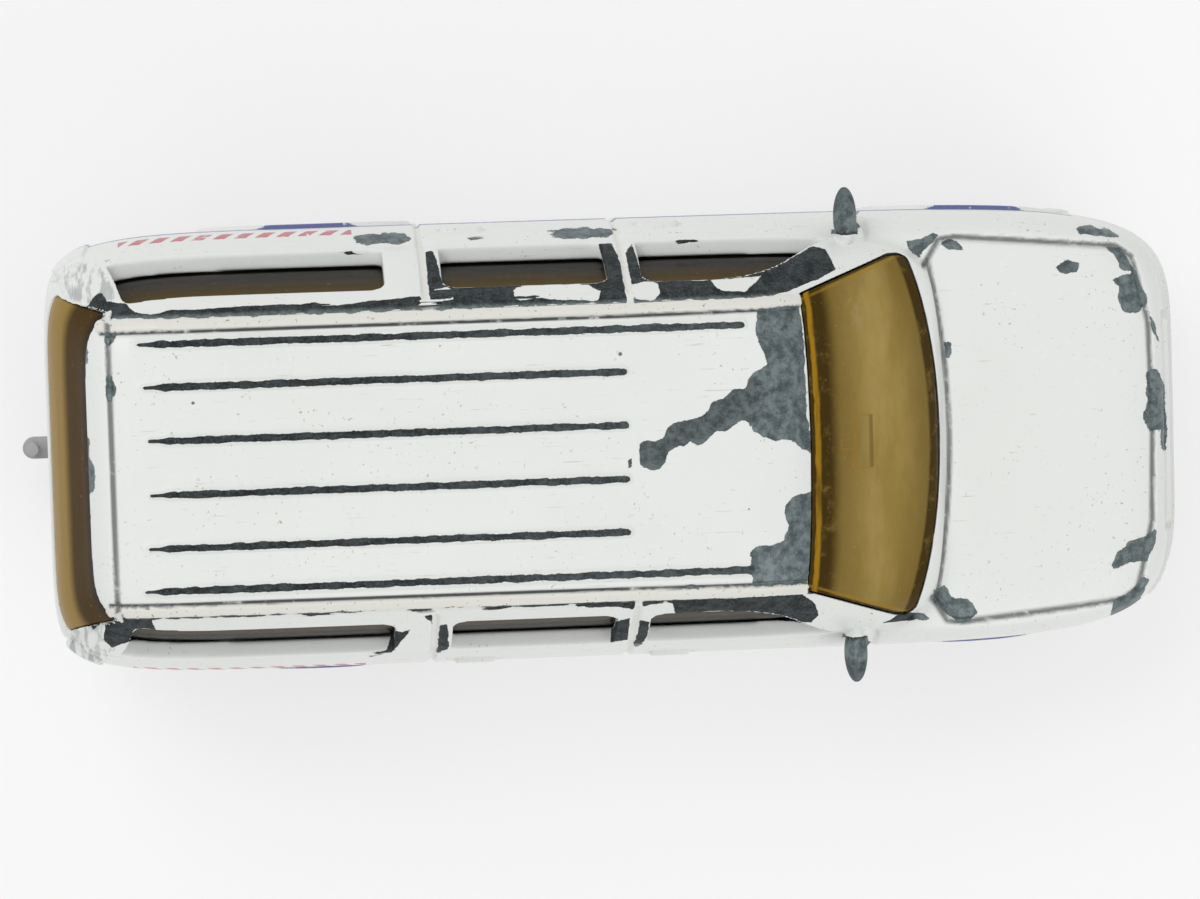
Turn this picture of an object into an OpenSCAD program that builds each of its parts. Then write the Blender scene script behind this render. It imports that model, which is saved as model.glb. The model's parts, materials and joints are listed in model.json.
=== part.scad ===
// Die-cast toy ambulance on a long estate car: a cast shell with everything cast on it, one amber
// window moulding, one seat moulding, a moulded base, two riveted pins, wire axles and free wheels.
// Millimetres, +X to the front, +Y to the left, +Z up, origin on the ground under the middle.

/* [Shell size] */
// Length of the shell from bumper to bumper
body_len = 74.4; // [70:0.2:79]
// Width of the shell at the doors
body_w = 28.4; // [27.4:0.2:30]
// Height of the roof above the ground
roof_z = 27.4; // [26.6:0.2:28.6]
// Height of the lower edge of the shell
sill_z = 6; // [5.6:0.1:6.4]
// Height of the belt line under the windows
belt_z = 18.9; // [18.5:0.1:19.2]
// Thickness of the cast wall
wall = 1.1; // [0.9:0.05:1.2]
// How far the top of the bonnet stands behind the front bumper, as a share of the length
nose_round_share = 0.2016; // [0.175:0.001:0.215]
// How far the shell draws in at the belt line on each side
side_round = 1.25; // [0.9:0.05:1.6]
// How far the rear valance draws in under the bumper
tail_round = 0.7; // [0.4:0.05:1]

/* [Cabin] */
// Distance from the front bumper to the foot of the windscreen, as a share of the length
screen_setback_share = 0.2262; // [0.215:0.001:0.242]
// How far the windscreen leans back up to the edge of the roof, as a share of the length
screen_rake_share = 0.1622; // [0.148:0.001:0.175]
// How far the tailgate leans forward up to the edge of the roof, as a share of the length
tail_lean_share = 0.0598; // [0.048:0.001:0.067]
// Step from the rear bumper to the tailgate at the belt line
tail_step = 0.25; // [0.1:0.05:0.6]
// How far each side leans in up to the edge of the roof, as a share of the width
side_lean_share = 0.1496; // [0.134:0.001:0.162]
// How far the cabin walls reach below the belt line
skirt_h = 2; // [1.6:0.1:2.2]

/* [Windows] */
// Height of the lower edge of the side windows, as a share of the cabin height
window_low_z_share = 0.0706; // [0.05:0.005:0.12]
// Height of the upper edge of the side windows, as a share of the cabin height
window_high_z_share = 0.7176; // [0.65:0.005:0.74]
// Rear end of the rear side window, as a share of the length
quarter_rear_x_share = -0.4301; // [-0.435:0.001:-0.417]
// Front end of the rear side window, as a share of the length
quarter_front_x_share = -0.1949; // [-0.204:0.001:-0.185]
// Rear end of the middle side window, as a share of the length
middle_rear_x_share = -0.1465; // [-0.153:0.001:-0.134]
// Front end of the middle side window, as a share of the length
middle_front_x_share = -0.0067; // [-0.013:0.0001:-0.003]
// Rear end of the front side window, as a share of the length
front_rear_x_share = 0.0215; // [0.017:0.001:0.03]
// Front end of the front side window at the belt line, as a share of the length
front_low_x_share = 0.1922; // [0.184:0.001:0.2]
// Front end of the front side window at the roof, as a share of the length
front_high_x_share = 0.1196; // [0.112:0.001:0.126]
// Forward lean of the rear end of the rear side window, as a share of the length
quarter_lean_share = 0.0175; // [0.008:0.001:0.024]
// Corner radius of the windows
window_r = 0.8; // [0.5:0.1:1]
// Radius of the sweep from the front side window down the windscreen pillar
window_sweep_r = 9; // [6:0.5:11]
// Width of the windscreen at the roof, as a share of the width
screen_top_w_share = 0.6514; // [0.613:0.001:0.665]
// Width of the windscreen at the bonnet, as a share of the width
screen_low_w_share = 0.896; // [0.87:0.001:0.905]
// Distance of the windscreen opening in front of the middle at the roof, as a share of the length
screen_top_x_share = 0.1559; // [0.151:0.001:0.164]
// Margin of the windscreen opening behind the foot of the windscreen
screen_margin = 0.4; // [0.3:0.05:0.6]
// Radius of the bowed lower edge of the windscreen, as a share of the width
screen_bow_r_share = 1.17; // [1.1:0.01:1.4]
// Width of the rear window at its lower edge, as a share of the width
rear_low_w_share = 0.7606; // [0.718:0.001:0.775]
// Width of the rear window at its upper edge, as a share of the width
rear_high_w_share = 0.669; // [0.634:0.001:0.676]
// Height of the upper edge of the rear window, as a share of the cabin height
rear_high_z_share = 0.7647; // [0.69:0.005:0.78]

/* [Roof ribs] */
// Width of one rib
rib_w = 0.6; // [0.5:0.05:0.8]
// Height of one rib
rib_h = 0.3; // [0.2:0.05:0.4]
// Distance of the inner ribs from the middle line, as a share of the width
rib_inner_y_share = 0.0592; // [0.053:0.001:0.067]
// Distance of the middle ribs from the middle line, as a share of the width
rib_middle_y_share = 0.1761; // [0.165:0.001:0.187]
// Distance of the outer ribs from the middle line, as a share of the width
rib_outer_y_share = 0.2694; // [0.261:0.001:0.275]
// Rear end of the ribs, as a share of the length
rib_rear_x_share = -0.3978; // [-0.403:0.001:-0.384]
// Front end of the inner and middle ribs, as a share of the length
rib_front_x_share = 0.0047; // [-0.007:0.001:0.013]
// Front end of the outer ribs, as a share of the length
rib_long_x_share = 0.1048; // [0.094:0.001:0.113]
// Length of the point at the rear end of a rib, as a share of the length
rib_point_share = 0.0242; // [0.016:0.001:0.032]

/* [Panel lines] */
// Width of the grooves between the panels
groove_w = 0.3; // [0.24:0.02:0.4]
// Depth of the grooves between the panels
groove_d = 0.22; // [0.16:0.02:0.3]
// Half the width of the roof panel inside its gutters, as a share of the width
gutter_y_share = 0.3116; // [0.306:0.001:0.317]
// Height of the raised gutter
gutter_h = 0.16; // [0.1:0.02:0.24]
// Width of the raised gutter
gutter_w = 0.55; // [0.4:0.05:0.7]
// Rear edge of the roof panel, as a share of the length
roof_rear_x_share = -0.4247; // [-0.427:0.0001:-0.419]
// Gap between the rear and the front door, as a share of the length
door_front_x_share = 0.0087; // [0.007:0.0001:0.011]
// Gap behind the rear door, as a share of the length
door_rear_x_share = -0.1613; // [-0.167:0.001:-0.156]
// Gap in front of the front door, as a share of the length
door_nose_x_share = 0.2231; // [0.215:0.001:0.226]
// Height at which the door gaps end under the roof, as a share of the cabin height
door_top_z_share = 0.8353; // [0.81:0.005:0.86]
// Height of the lower edge of the doors
door_low_z = 7.6; // [7.2:0.1:8]
// Half the width of the bonnet at its rear corners, as a share of the width
bonnet_rear_y_share = 0.4401; // [0.423:0.001:0.447]
// Half the width of the bonnet at its front corners, as a share of the width
bonnet_front_y_share = 0.4049; // [0.387:0.001:0.423]
// Length of the bonnet from its rear corners to its front corners, as a share of the length
bonnet_len_share = 0.1559; // [0.148:0.001:0.164]
// Gap from the windscreen foot to the rear edge of the bonnet
cowl_gap = 0.55; // [0.4:0.05:0.8]
// Bow of the front edge of the bonnet, as a share of the length
bonnet_bow_share = 0.0242; // [0.016:0.001:0.03]

/* [Mirrors and handles] */
// Place of the mirrors in front of the middle, as a share of the length
mirror_x_share = 0.203; // [0.196:0.001:0.21]
// Width of the whole part over the mirrors, as a share of the width
mirror_span_share = 1.1268; // [1.092:0.001:1.162]
// Thickness of a mirror housing
mirror_t = 1.5; // [1.2:0.1:1.7]
// Height of a mirror housing
mirror_h = 2.6; // [2.2:0.1:3]
// Height of the middle of the mirrors, as a share of the cabin height
mirror_z_share = 0.1176; // [0.09:0.005:0.15]
// Length of a door handle
handle_len = 2.7; // [2.2:0.1:3]
// Height of a door handle
handle_w = 0.95; // [0.7:0.05:1.1]
// How far a handle stands out
handle_h = 0.28; // [0.2:0.02:0.4]
// How far the door handles stand below the belt line
handle_drop = 2.3; // [1.9:0.1:2.7]
// Place of the rear door handles, as a share of the length
handle_rear_x_share = -0.1237; // [-0.129:0.001:-0.118]
// Place of the front door handles, as a share of the length
handle_front_x_share = 0.0457; // [0.04:0.001:0.051]

/* [Front and rear face] */
// Width of the grille, as a share of the width
grille_w_share = 0.4437; // [0.387:0.001:0.472]
// Height of the lower edge of the grille
grille_low_z = 11.4; // [11:0.1:11.8]
// Height of one grille slot
grille_slot = 0.5; // [0.4:0.05:0.55]
// Spacing of the grille slots
grille_pitch = 0.95; // [0.85:0.05:1.05]
// Number of grille slots
grille_slots = 4; // [3:1:4]
// Depth of the grille slots
grille_d = 0.5; // [0.3:0.05:0.6]
// Width of a headlamp, as a share of the width
lamp_w_share = 0.162; // [0.141:0.001:0.176]
// Height of a headlamp
lamp_h = 2.6; // [2.2:0.1:3]
// Gap between the grille and a headlamp
lamp_gap = 0.5; // [0.4:0.05:0.8]
// How far lamps stand out of the shell
lamp_out = 0.2; // [0.14:0.02:0.26]
// Width of a tail lamp
tail_lamp_w = 1.7; // [1.4:0.1:1.9]
// Height of a tail lamp
tail_lamp_h = 5; // [4.4:0.1:5.6]
// Height of the lower edge of the tail lamps
tail_lamp_z = 12.2; // [11.6:0.1:12.6]
// Distance of the tail lamps from the middle line, as a share of the width
tail_lamp_y_share = 0.419; // [0.412:0.001:0.423]
// Width of the tailgate, as a share of the width
tailgate_w_share = 0.8169; // [0.796:0.001:0.824]
// Height of the lower edge of the tailgate
tailgate_z = 10.9; // [10.6:0.1:11.2]

/* [Wheels and axles] */
// Diameter of a tyre
tyre_d = 11.6; // [11:0.1:12]
// Width of a tyre
tyre_w = 4.2; // [3.8:0.1:4.4]
// Diameter of the hub under the tyre, as a share of the tyre
hub_d_share = 0.638; // [0.6:0.002:0.67]
// Width over the outer faces of the tyres, as a share of the width
track_over_share = 0.9366; // [0.915:0.001:0.951]
// Distance between the axles, as a share of the length
wheelbase_share = 0.586; // [0.578:0.001:0.591]
// Distance from the front bumper to the front axle, as a share of the length
front_overhang_share = 0.1828; // [0.179:0.0001:0.187]
// Gap between a tyre and its wheel arch
arch_gap = 0.8; // [0.7:0.05:0.9]
// Width of the lip around a wheel arch
arch_lip_w = 0.8; // [0.6:0.05:1]
// How far the lip of an arch stands out
arch_lip_h = 0.25; // [0.15:0.05:0.35]
// Diameter of the axle wire
axle_d = 1.3; // [1.2:0.05:1.4]
// Diameter of the head at each end of an axle
axle_head_d = 2.1; // [1.9:0.1:2.3]
// Thickness of the head at each end of an axle
axle_head_t = 0.5; // [0.4:0.05:0.6]
// Number of spokes in a wheel
spokes = 6; // [5:1:7]
// Width of a spoke
spoke_w = 1.1; // [0.9:0.05:1.3]
// Depth of the dish between the spokes
dish_d = 0.9; // [0.6:0.05:1.1]
// Number of tread grooves round a tyre
treads = 24; // [18:1:26]
// Width of a tread groove
tread_w = 0.4; // [0.3:0.05:0.5]
// Depth of a tread groove
tread_d = 0.35; // [0.2:0.05:0.45]

/* [Base plate] */
// Height of the underside of the base above the ground
base_z = 3.9; // [3.6:0.1:4.1]
// Thickness of the base
base_t = 1.3; // [1.1:0.1:1.4]
// Height of the rim that stands inside the shell
base_rim_h = 3; // [2.6:0.1:3.2]
// Thickness of that rim
base_rim_t = 0.9; // [0.7:0.05:1.1]
// Bevel that draws in the underside of the base
base_bevel = 0.7; // [0.5:0.05:0.9]
// Gap between the base and the wheels beside it
waist_gap = 0.8; // [0.6:0.05:1]
// Length of an axle cradle along the car
cradle_len = 4.2; // [3.6:0.1:4.6]
// Width of an axle cradle
cradle_w = 2.2; // [1.8:0.1:2.6]
// Height of the axle cradles above the axle
cradle_h = 1.6; // [1.2:0.1:1.8]
// Depth of the relief of the running gear on the underside
relief_h = 0.4; // [0.3:0.05:0.5]
// Distance of the exhaust from the middle line, as a share of the width
exhaust_y_share = 0.2324; // [0.218:0.001:0.246]
// Length of the silencer, as a share of the length
silencer_len_share = 0.0941; // [0.081:0.001:0.108]
// Width of the silencer
silencer_w = 2.2; // [1.8:0.1:2.4]
// Diameter of the final drive on the rear axle
diff_d = 3.6; // [3:0.1:4]
// Length of the smooth pad in the middle of the underside, as a share of the length
pad_len_share = 0.2016; // [0.175:0.001:0.215]
// Width of that pad, as a share of the width
pad_w_share = 0.3169; // [0.282:0.001:0.352]
// How far the tow hook stands behind the bumper
tow_reach = 1.95; // [1.9:0.05:2.2]
// Width of the tongue of the tow hook
tow_w = 1.4; // [1.3:0.1:1.5]
// Diameter of the pin of the tow hook
tow_pin_d = 0.8; // [0.7:0.05:0.8]
// Height of the pin of the tow hook above its tongue
tow_pin_h = 1.8; // [1.5:0.1:2]

/* [Posts and rivets] */
// Diameter of the two posts inside the shell
post_d = 2.8; // [2.6:0.1:3]
// Gap between the rim of the base and the posts
post_gap = 0.5; // [0.4:0.05:0.6]
// Diameter of the rivet shank
rivet_d = 1.5; // [1.3:0.05:1.6]
// Diameter of the rivet head
rivet_head_d = 2.5; // [2.3:0.1:2.6]
// Thickness of the rivet head
rivet_head_t = 0.5; // [0.4:0.05:0.6]
// Length of the rivet shank above the base
rivet_grip = 2.4; // [2:0.1:3]

/* [Window moulding] */
// Thickness of the window moulding
glass_t = 0.75; // [0.6:0.05:0.9]
// How far the flush windows stay below the paint
glass_sink = 0.12; // [0.06:0.02:0.2]
// Width of the rear-view mirror moulded under the windscreen, as a share of the width
rear_view_w_share = 0.1232; // [0.106:0.001:0.141]
// Length of that mirror along the car
rear_view_len = 1.3; // [1:0.1:1.5]
// Place of that mirror in front of the middle, as a share of the length
rear_view_x_share = 0.2056; // [0.199:0.001:0.21]
// Width of the stem of that mirror
rear_view_stem_w = 0.6; // [0.5:0.05:0.8]
// Height of that mirror and its stem
rear_view_h = 1.5; // [1.2:0.1:1.7]

/* [Seat moulding] */
// Gap between the wheels and the seat moulding above them
tub_gap = 0.7; // [0.5:0.05:1]
// Thickness of the seat moulding
tub_t = 0.8; // [0.6:0.05:1]
// Distance of the front seats from the middle line, as a share of the width
seat_y_share = 0.1479; // [0.141:0.001:0.155]
// Width of a front seat, as a share of the width
seat_w_share = 0.2676; // [0.246:0.001:0.282]
// Depth of a seat cushion, as a share of the length
seat_len_share = 0.086; // [0.078:0.001:0.091]
// Height of a seat cushion
seat_h = 1.9; // [1.6:0.1:2.2]
// Height of a seat back
seat_back_h = 6; // [5.4:0.1:6.4]
// Thickness of a seat back
seat_back_t = 1.6; // [1.4:0.1:1.8]
// Front edge of the front seats, as a share of the length
seat_front_x_share = 0.1022; // [0.094:0.001:0.11]
// Front edge of the second row of seats, as a share of the length
seat_second_x_share = -0.0726; // [-0.081:0.001:-0.067]
// Front edge of the third row of seats, as a share of the length
seat_third_x_share = -0.2419; // [-0.25:0.001:-0.234]
// Depth of the dashboard, as a share of the length
dash_len_share = 0.0618; // [0.054:0.001:0.067]
// Height of the dashboard above the floor
dash_h = 4.2; // [3.8:0.1:4.6]
// Diameter of the steering wheel
steering_d = 4; // [3.6:0.1:4.2]
// Thickness of the steering wheel rim
steering_t = 0.55; // [0.45:0.05:0.7]
// Slope of the steering column
steering_tilt = 62; // [55:1:68]
// Width of the legs and ribs that hold the axles down
leg_w = 2.4; // [2:0.1:2.8]
// Distance of those legs and ribs from the middle line, as a share of the base between the wheels
leg_y_share = 0.1988; // [0.18:0.002:0.22]

/* [Clearances] */
// Gap between pieces that are fitted together
fit_gap = 0.1; // [0.08:0.01:0.14]
// Running clearance of a wheel on its axle, on the radius
run_gap = 0.05; // [0.03:0.01:0.08]
// Gap between the tyre and the hub, on the radius
tyre_gap = 0.02; // [0.01:0.01:0.03]
// End play of a wheel on its axle
end_play = 0.12; // [0.1:0.01:0.16]

/* [Hidden] */
// One overrun serves every cut that has to pass a face
overrun = 1;
// How far the details of the front face reach back round its corners
face_depth = 5;
plan_steps = 36;
front_power = 6.5;
rear_power = 10;
cabin_front_power = 8;
cabin_rear_power = 9;
round_fn = 48;
small_fn = 24;

// Places and widths that follow the length and width of the shell
nose_round = nose_round_share * body_len;
screen_setback = screen_setback_share * body_len;
screen_rake = screen_rake_share * body_len;
tail_lean = tail_lean_share * body_len;
quarter_rear_x = quarter_rear_x_share * body_len;
quarter_front_x = quarter_front_x_share * body_len;
middle_rear_x = middle_rear_x_share * body_len;
middle_front_x = middle_front_x_share * body_len;
front_rear_x = front_rear_x_share * body_len;
front_low_x = front_low_x_share * body_len;
front_high_x = front_high_x_share * body_len;
quarter_lean = quarter_lean_share * body_len;
screen_top_x = screen_top_x_share * body_len;
rib_rear_x = rib_rear_x_share * body_len;
rib_front_x = rib_front_x_share * body_len;
rib_long_x = rib_long_x_share * body_len;
rib_point = rib_point_share * body_len;
roof_rear_x = roof_rear_x_share * body_len;
door_front_x = door_front_x_share * body_len;
door_rear_x = door_rear_x_share * body_len;
door_nose_x = door_nose_x_share * body_len;
bonnet_len = bonnet_len_share * body_len;
mirror_x = mirror_x_share * body_len;
handle_rear_x = handle_rear_x_share * body_len;
handle_front_x = handle_front_x_share * body_len;
wheelbase = wheelbase_share * body_len;
front_overhang = front_overhang_share * body_len;
rear_view_x = rear_view_x_share * body_len;
seat_front_x = seat_front_x_share * body_len;
seat_second_x = seat_second_x_share * body_len;
seat_third_x = seat_third_x_share * body_len;
pad_len = pad_len_share * body_len;
silencer_len = silencer_len_share * body_len;
dash_len = dash_len_share * body_len;
seat_len = seat_len_share * body_len;
bonnet_bow = bonnet_bow_share * body_len;
side_lean = side_lean_share * body_w;
screen_top_w = screen_top_w_share * body_w;
screen_low_w = screen_low_w_share * body_w;
screen_bow_r = screen_bow_r_share * body_w;
rear_low_w = rear_low_w_share * body_w;
rear_high_w = rear_high_w_share * body_w;
rib_inner_y = rib_inner_y_share * body_w;
rib_middle_y = rib_middle_y_share * body_w;
rib_outer_y = rib_outer_y_share * body_w;
gutter_y = gutter_y_share * body_w;
bonnet_rear_y = bonnet_rear_y_share * body_w;
bonnet_front_y = bonnet_front_y_share * body_w;
mirror_span = mirror_span_share * body_w;
grille_w = grille_w_share * body_w;
lamp_w = lamp_w_share * body_w;
tail_lamp_y = tail_lamp_y_share * body_w;
tailgate_w = tailgate_w_share * body_w;
track_over = track_over_share * body_w;
exhaust_y = exhaust_y_share * body_w;
seat_y = seat_y_share * body_w;
seat_w = seat_w_share * body_w;
pad_w = pad_w_share * body_w;
rear_view_w = rear_view_w_share * body_w;
window_low_z = belt_z + window_low_z_share * (roof_z - belt_z);
window_high_z = belt_z + window_high_z_share * (roof_z - belt_z);
rear_high_z = belt_z + rear_high_z_share * (roof_z - belt_z);
door_top_z = belt_z + door_top_z_share * (roof_z - belt_z);
mirror_z = belt_z + mirror_z_share * (roof_z - belt_z);
handle_z = belt_z - handle_drop;
hub_d = hub_d_share * tyre_d;
arch_r = tyre_d / 2 + arch_gap;
tub_z = tyre_d + tub_gap;

front_x = (body_len + tow_reach) / 2;
rear_x = front_x - body_len;
axle_z = tyre_d / 2;
front_axle_x = front_x - front_overhang;
rear_axle_x = front_axle_x - wheelbase;
screen_x = front_x - screen_setback;
base_top_z = base_z + base_t;
rim_top_z = base_z + base_bevel + base_rim_h;
keeper_z = axle_z + axle_d / 2 + fit_gap;
bonnet_under_z = belt_z - skirt_h;
post_low_z = base_top_z + fit_gap;
tyre_out_y = track_over / 2;
tyre_in_y = tyre_out_y - tyre_w;
base_waist = 2 * (tyre_in_y - waist_gap);
leg_y = leg_y_share * base_waist;
hub_bore_r = axle_d / 2 + run_gap;
hub_r = hub_d / 2;
hub_face_y = tyre_out_y - fit_gap;
axle_tip_y = hub_face_y + end_play + axle_head_t;
tub_top_z = belt_z - skirt_h - fit_gap;
tow_z = base_z + fit_gap;
tow_t = base_t - 2 * fit_gap;
tow_pin_x = rear_x - tow_reach + tow_w / 2;

// Rings of the lower shell: height, rear inset, nose inset, side inset, lift when the shell grows
lower_shares = [
    [0, 1, 0.093, 0.64, 0],
    [0.09, 0, 0, 0.28, 0],
    [0.295, 0, 0.007, 0.06, 0],
    [0.325, 0.45, 0.067, 0.05, 0],
    [0.54, 0.36, 0.08, 0, 0],
    [0.74, 0.3, 0.12, 0.12, 0.1],
    [0.87, 0.3, 0.2, 0.4, 0.4],
    [0.915, 0.32, 0.293, 0.6, 0.7],
    [0.96, 0.36, 0.567, 0.8, 1],
    [1, 0.43, 1, 1, 1]
];

// Rings of the cabin from the belt line up: height, tail lean, screen rake, side lean, lift
cabin_shares = [
    [0, 0, 0, 0, 0],
    [0.741, 0.589, 0.71, 0.595, 0.3],
    [0.835, 0.663, 0.797, 0.694, 0.6],
    [0.918, 0.82, 0.9, 0.859, 0.9],
    [0.959, 1, 1, 1, 1],
    [0.988, 1.8, 1.35, 1.52, 1],
    [1, 2.8, 1.8, 2.34, 1]
];

// Each ring is height, rear end, front end, half width, lift
lower_rings = [
    for (s = lower_shares)
        [
            sill_z + s[0] * (belt_z - sill_z),
            rear_x + s[1] * tail_round,
            front_x - s[2] * nose_round,
            body_w / 2 - s[3] * side_round,
            s[4]
        ]
];

belt_half_w = body_w / 2 - side_round;
post_inset = wall + fit_gap + base_rim_t + post_gap + post_d / 2;
post_front_x = lower_rings[0][2] - post_inset;
post_rear_x = lower_rings[0][1] + post_inset;

cabin_rings = concat(
    [[belt_z - skirt_h, rear_x + tail_step, screen_x, belt_half_w, 0]],
    [
        for (s = cabin_shares)
            [
                belt_z + s[0] * (roof_z - belt_z),
                rear_x + tail_step + s[1] * tail_lean,
                screen_x - s[2] * screen_rake,
                belt_half_w - s[3] * side_lean,
                s[4]
            ]
    ]
);

// A ring made larger or smaller all round
function grown(ring, by) = [ring[0] + by * ring[4], ring[1] - by, ring[2] + by, ring[3] + by];

// Plan of the car at one height: a bowed rectangle with its own corners at each end
function plan_points(ring, nose_power, tail_power) = [
    for (i = [0 : plan_steps - 1])
        let (
            turn = 360 * i / plan_steps,
            power = cos(turn) > 0 ? nose_power : tail_power,
            middle = (ring[1] + ring[2]) / 2,
            half = (ring[2] - ring[1]) / 2
        )
        [
            middle + half * sign(cos(turn)) * pow(abs(cos(turn)), 2 / power),
            ring[3] * sign(sin(turn)) * pow(abs(sin(turn)), 2 / power)
        ]
];

// One step of a loft: the hull of the plans at two heights
module loft_step(low, high, nose_power, tail_power) {
    low_points = plan_points(low, nose_power, tail_power);
    high_points = plan_points(high, nose_power, tail_power);
    last = plan_steps - 1;
    hull()
        polyhedron(
            concat(
                [for (p = low_points) [p[0], p[1], low[0]]],
                [for (p = high_points) [p[0], p[1], high[0]]]
            ),
            concat(
                [[for (i = [0 : last]) i]],
                [[for (i = [last : -1 : 0]) plan_steps + i]],
                [for (i = [0 : last]) [i, plan_steps + i, plan_steps + (i + 1) % plan_steps]],
                [for (i = [0 : last]) [i, plan_steps + (i + 1) % plan_steps, (i + 1) % plan_steps]]
            )
        );
}

module loft(rings, by, nose_power, tail_power) {
    for (i = [0 : len(rings) - 2])
        loft_step(grown(rings[i], by), grown(rings[i + 1], by), nose_power, tail_power);
}

// Carries the lowest ring of a loft further down, to open a hollow at its foot
module open_below(ring, by, nose_power, tail_power) {
    low = [ring[0] - overrun, ring[1], ring[2], ring[3], ring[4]];
    loft_step(grown(low, by), grown(ring, by), nose_power, tail_power);
}

module lower_form(by) {
    loft(lower_rings, by, front_power, rear_power);
}

module cabin_form(by) {
    loft(cabin_rings, by, cabin_front_power, cabin_rear_power);
}

module shell_form(by) {
    lower_form(by);
    cabin_form(by);
}

// Plan of the lower edge of the shell, made smaller by a margin
module sill_plan(margin) {
    polygon(plan_points(grown(lower_rings[0], -margin), front_power, rear_power));
}

// Plan of the cabin at the belt line, made smaller by a margin
module cabin_plan(margin) {
    polygon(plan_points(grown(cabin_rings[0], -margin), cabin_front_power, cabin_rear_power));
}

// Shapes drawn in side view are pushed through the whole width
module across(width) {
    rotate([90, 0, 0])
        linear_extrude(width, center = true)
            children();
}

// Shapes drawn in end view, as Y and Z, are pushed along the car
module along(from_x, length) {
    translate([from_x, 0, 0])
        rotate([90, 0, 90])
            linear_extrude(length)
                children();
}

module rounded(radius, facets = small_fn) {
    offset(r = radius, $fn = facets)
        offset(delta = -radius)
            children();
}

module line_of(width) {
    difference() {
        offset(delta = width / 2)
            children();
        offset(delta = -width / 2)
            children();
    }
}

module side_windows() {
    rounded(window_r)
        polygon([
            [quarter_rear_x, window_low_z],
            [quarter_front_x, window_low_z],
            [quarter_front_x, window_high_z],
            [quarter_rear_x + quarter_lean, window_high_z]
        ]);
    rounded(window_r)
        polygon([
            [middle_rear_x, window_low_z],
            [middle_front_x, window_low_z],
            [middle_front_x, window_high_z],
            [middle_rear_x, window_high_z]
        ]);
    front_window();
}

// The upper front corner of the front side window sweeps down the windscreen pillar
module front_window() {
    lean = (front_low_x - front_high_x) / (window_high_z - window_low_z);
    reach = 3 * window_sweep_r;
    intersection() {
        rounded(window_r)
            polygon([
                [front_rear_x, window_low_z],
                [front_low_x, window_low_z],
                [front_high_x, window_high_z],
                [front_rear_x, window_high_z]
            ]);
        rounded(window_sweep_r, round_fn)
            polygon([
                [front_rear_x - reach, window_high_z - reach],
                [front_high_x + lean * reach, window_high_z - reach],
                [front_high_x, window_high_z],
                [front_rear_x - reach, window_high_z]
            ]);
    }
}

module screen_plan(margin) {
    offset(delta = -margin)
        rounded(window_r)
            intersection() {
                polygon([
                    [screen_top_x, -screen_top_w / 2],
                    [screen_x, -screen_low_w / 2],
                    [screen_x, screen_low_w / 2],
                    [screen_top_x, screen_top_w / 2]
                ]);
                cabin_plan(screen_margin);
                translate([screen_x - screen_margin - screen_bow_r, 0])
                    circle(screen_bow_r, $fn = 2 * round_fn);
            }
}

module screen_block(margin) {
    translate([0, 0, belt_z + margin])
        linear_extrude(roof_z - belt_z + overrun)
            screen_plan(margin);
}

module rear_window(margin) {
    offset(delta = -margin)
        rounded(window_r)
            polygon([
                [-rear_low_w / 2, window_low_z],
                [rear_low_w / 2, window_low_z],
                [rear_high_w / 2, rear_high_z],
                [-rear_high_w / 2, rear_high_z]
            ]);
}

module rear_window_block(margin) {
    along(rear_x - overrun, tail_lean + tail_step + overrun)
        rear_window(margin);
}

module rib_plan(y, front_end) {
    polygon([
        [rib_rear_x, y],
        [rib_rear_x + rib_point, y - rib_w / 2],
        [front_end, y - rib_w / 2],
        [front_end, y + rib_w / 2],
        [rib_rear_x + rib_point, y + rib_w / 2]
    ]);
}

module rib_plans() {
    for (side = [-1, 1]) {
        rib_plan(side * rib_inner_y, rib_front_x);
        rib_plan(side * rib_middle_y, rib_front_x);
        rib_plan(side * rib_outer_y, rib_long_x);
    }
}

module gutter_plans() {
    for (side = [-1, 1])
        translate([roof_rear_x - gutter_w, side * (gutter_y + gutter_w / 2) - gutter_w / 2])
            square([screen_top_x - roof_rear_x + gutter_w, gutter_w]);
}

module roof_raised() {
    intersection() {
        cabin_form(rib_h);
        translate([0, 0, window_high_z])
            linear_extrude(roof_z)
                rib_plans();
    }
    intersection() {
        cabin_form(gutter_h);
        translate([0, 0, window_high_z])
            linear_extrude(roof_z)
                gutter_plans();
    }
}

module bonnet_plan() {
    rear = screen_x + cowl_gap;
    rounded(window_r)
        polygon([
            [rear - bonnet_bow, -bonnet_rear_y + bonnet_bow],
            [rear, -bonnet_rear_y],
            [rear + bonnet_len, -bonnet_front_y],
            [rear + bonnet_len + bonnet_bow, -bonnet_front_y / 2],
            [rear + bonnet_len + bonnet_bow, bonnet_front_y / 2],
            [rear + bonnet_len, bonnet_front_y],
            [rear, bonnet_rear_y],
            [rear - bonnet_bow, bonnet_rear_y - bonnet_bow],
            [rear, bonnet_rear_y / 2],
            [rear, -bonnet_rear_y / 2]
        ]);
}

module door_lines() {
    for (x = [door_rear_x, door_front_x])
        translate([x - groove_w / 2, door_low_z])
            square([groove_w, door_top_z - door_low_z]);
    translate([door_nose_x - groove_w / 2, door_low_z])
        square([groove_w, belt_z - groove_w - door_low_z]);
    translate([door_rear_x, door_low_z])
        square([door_nose_x - door_rear_x, groove_w]);
}

module tailgate_line() {
    line_of(groove_w)
        polygon([
            [-tailgate_w / 2, tailgate_z],
            [tailgate_w / 2, tailgate_z],
            [tailgate_w / 2, belt_z],
            [gutter_y, roof_z],
            [-gutter_y, roof_z],
            [-tailgate_w / 2, belt_z]
        ]);
}

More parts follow.
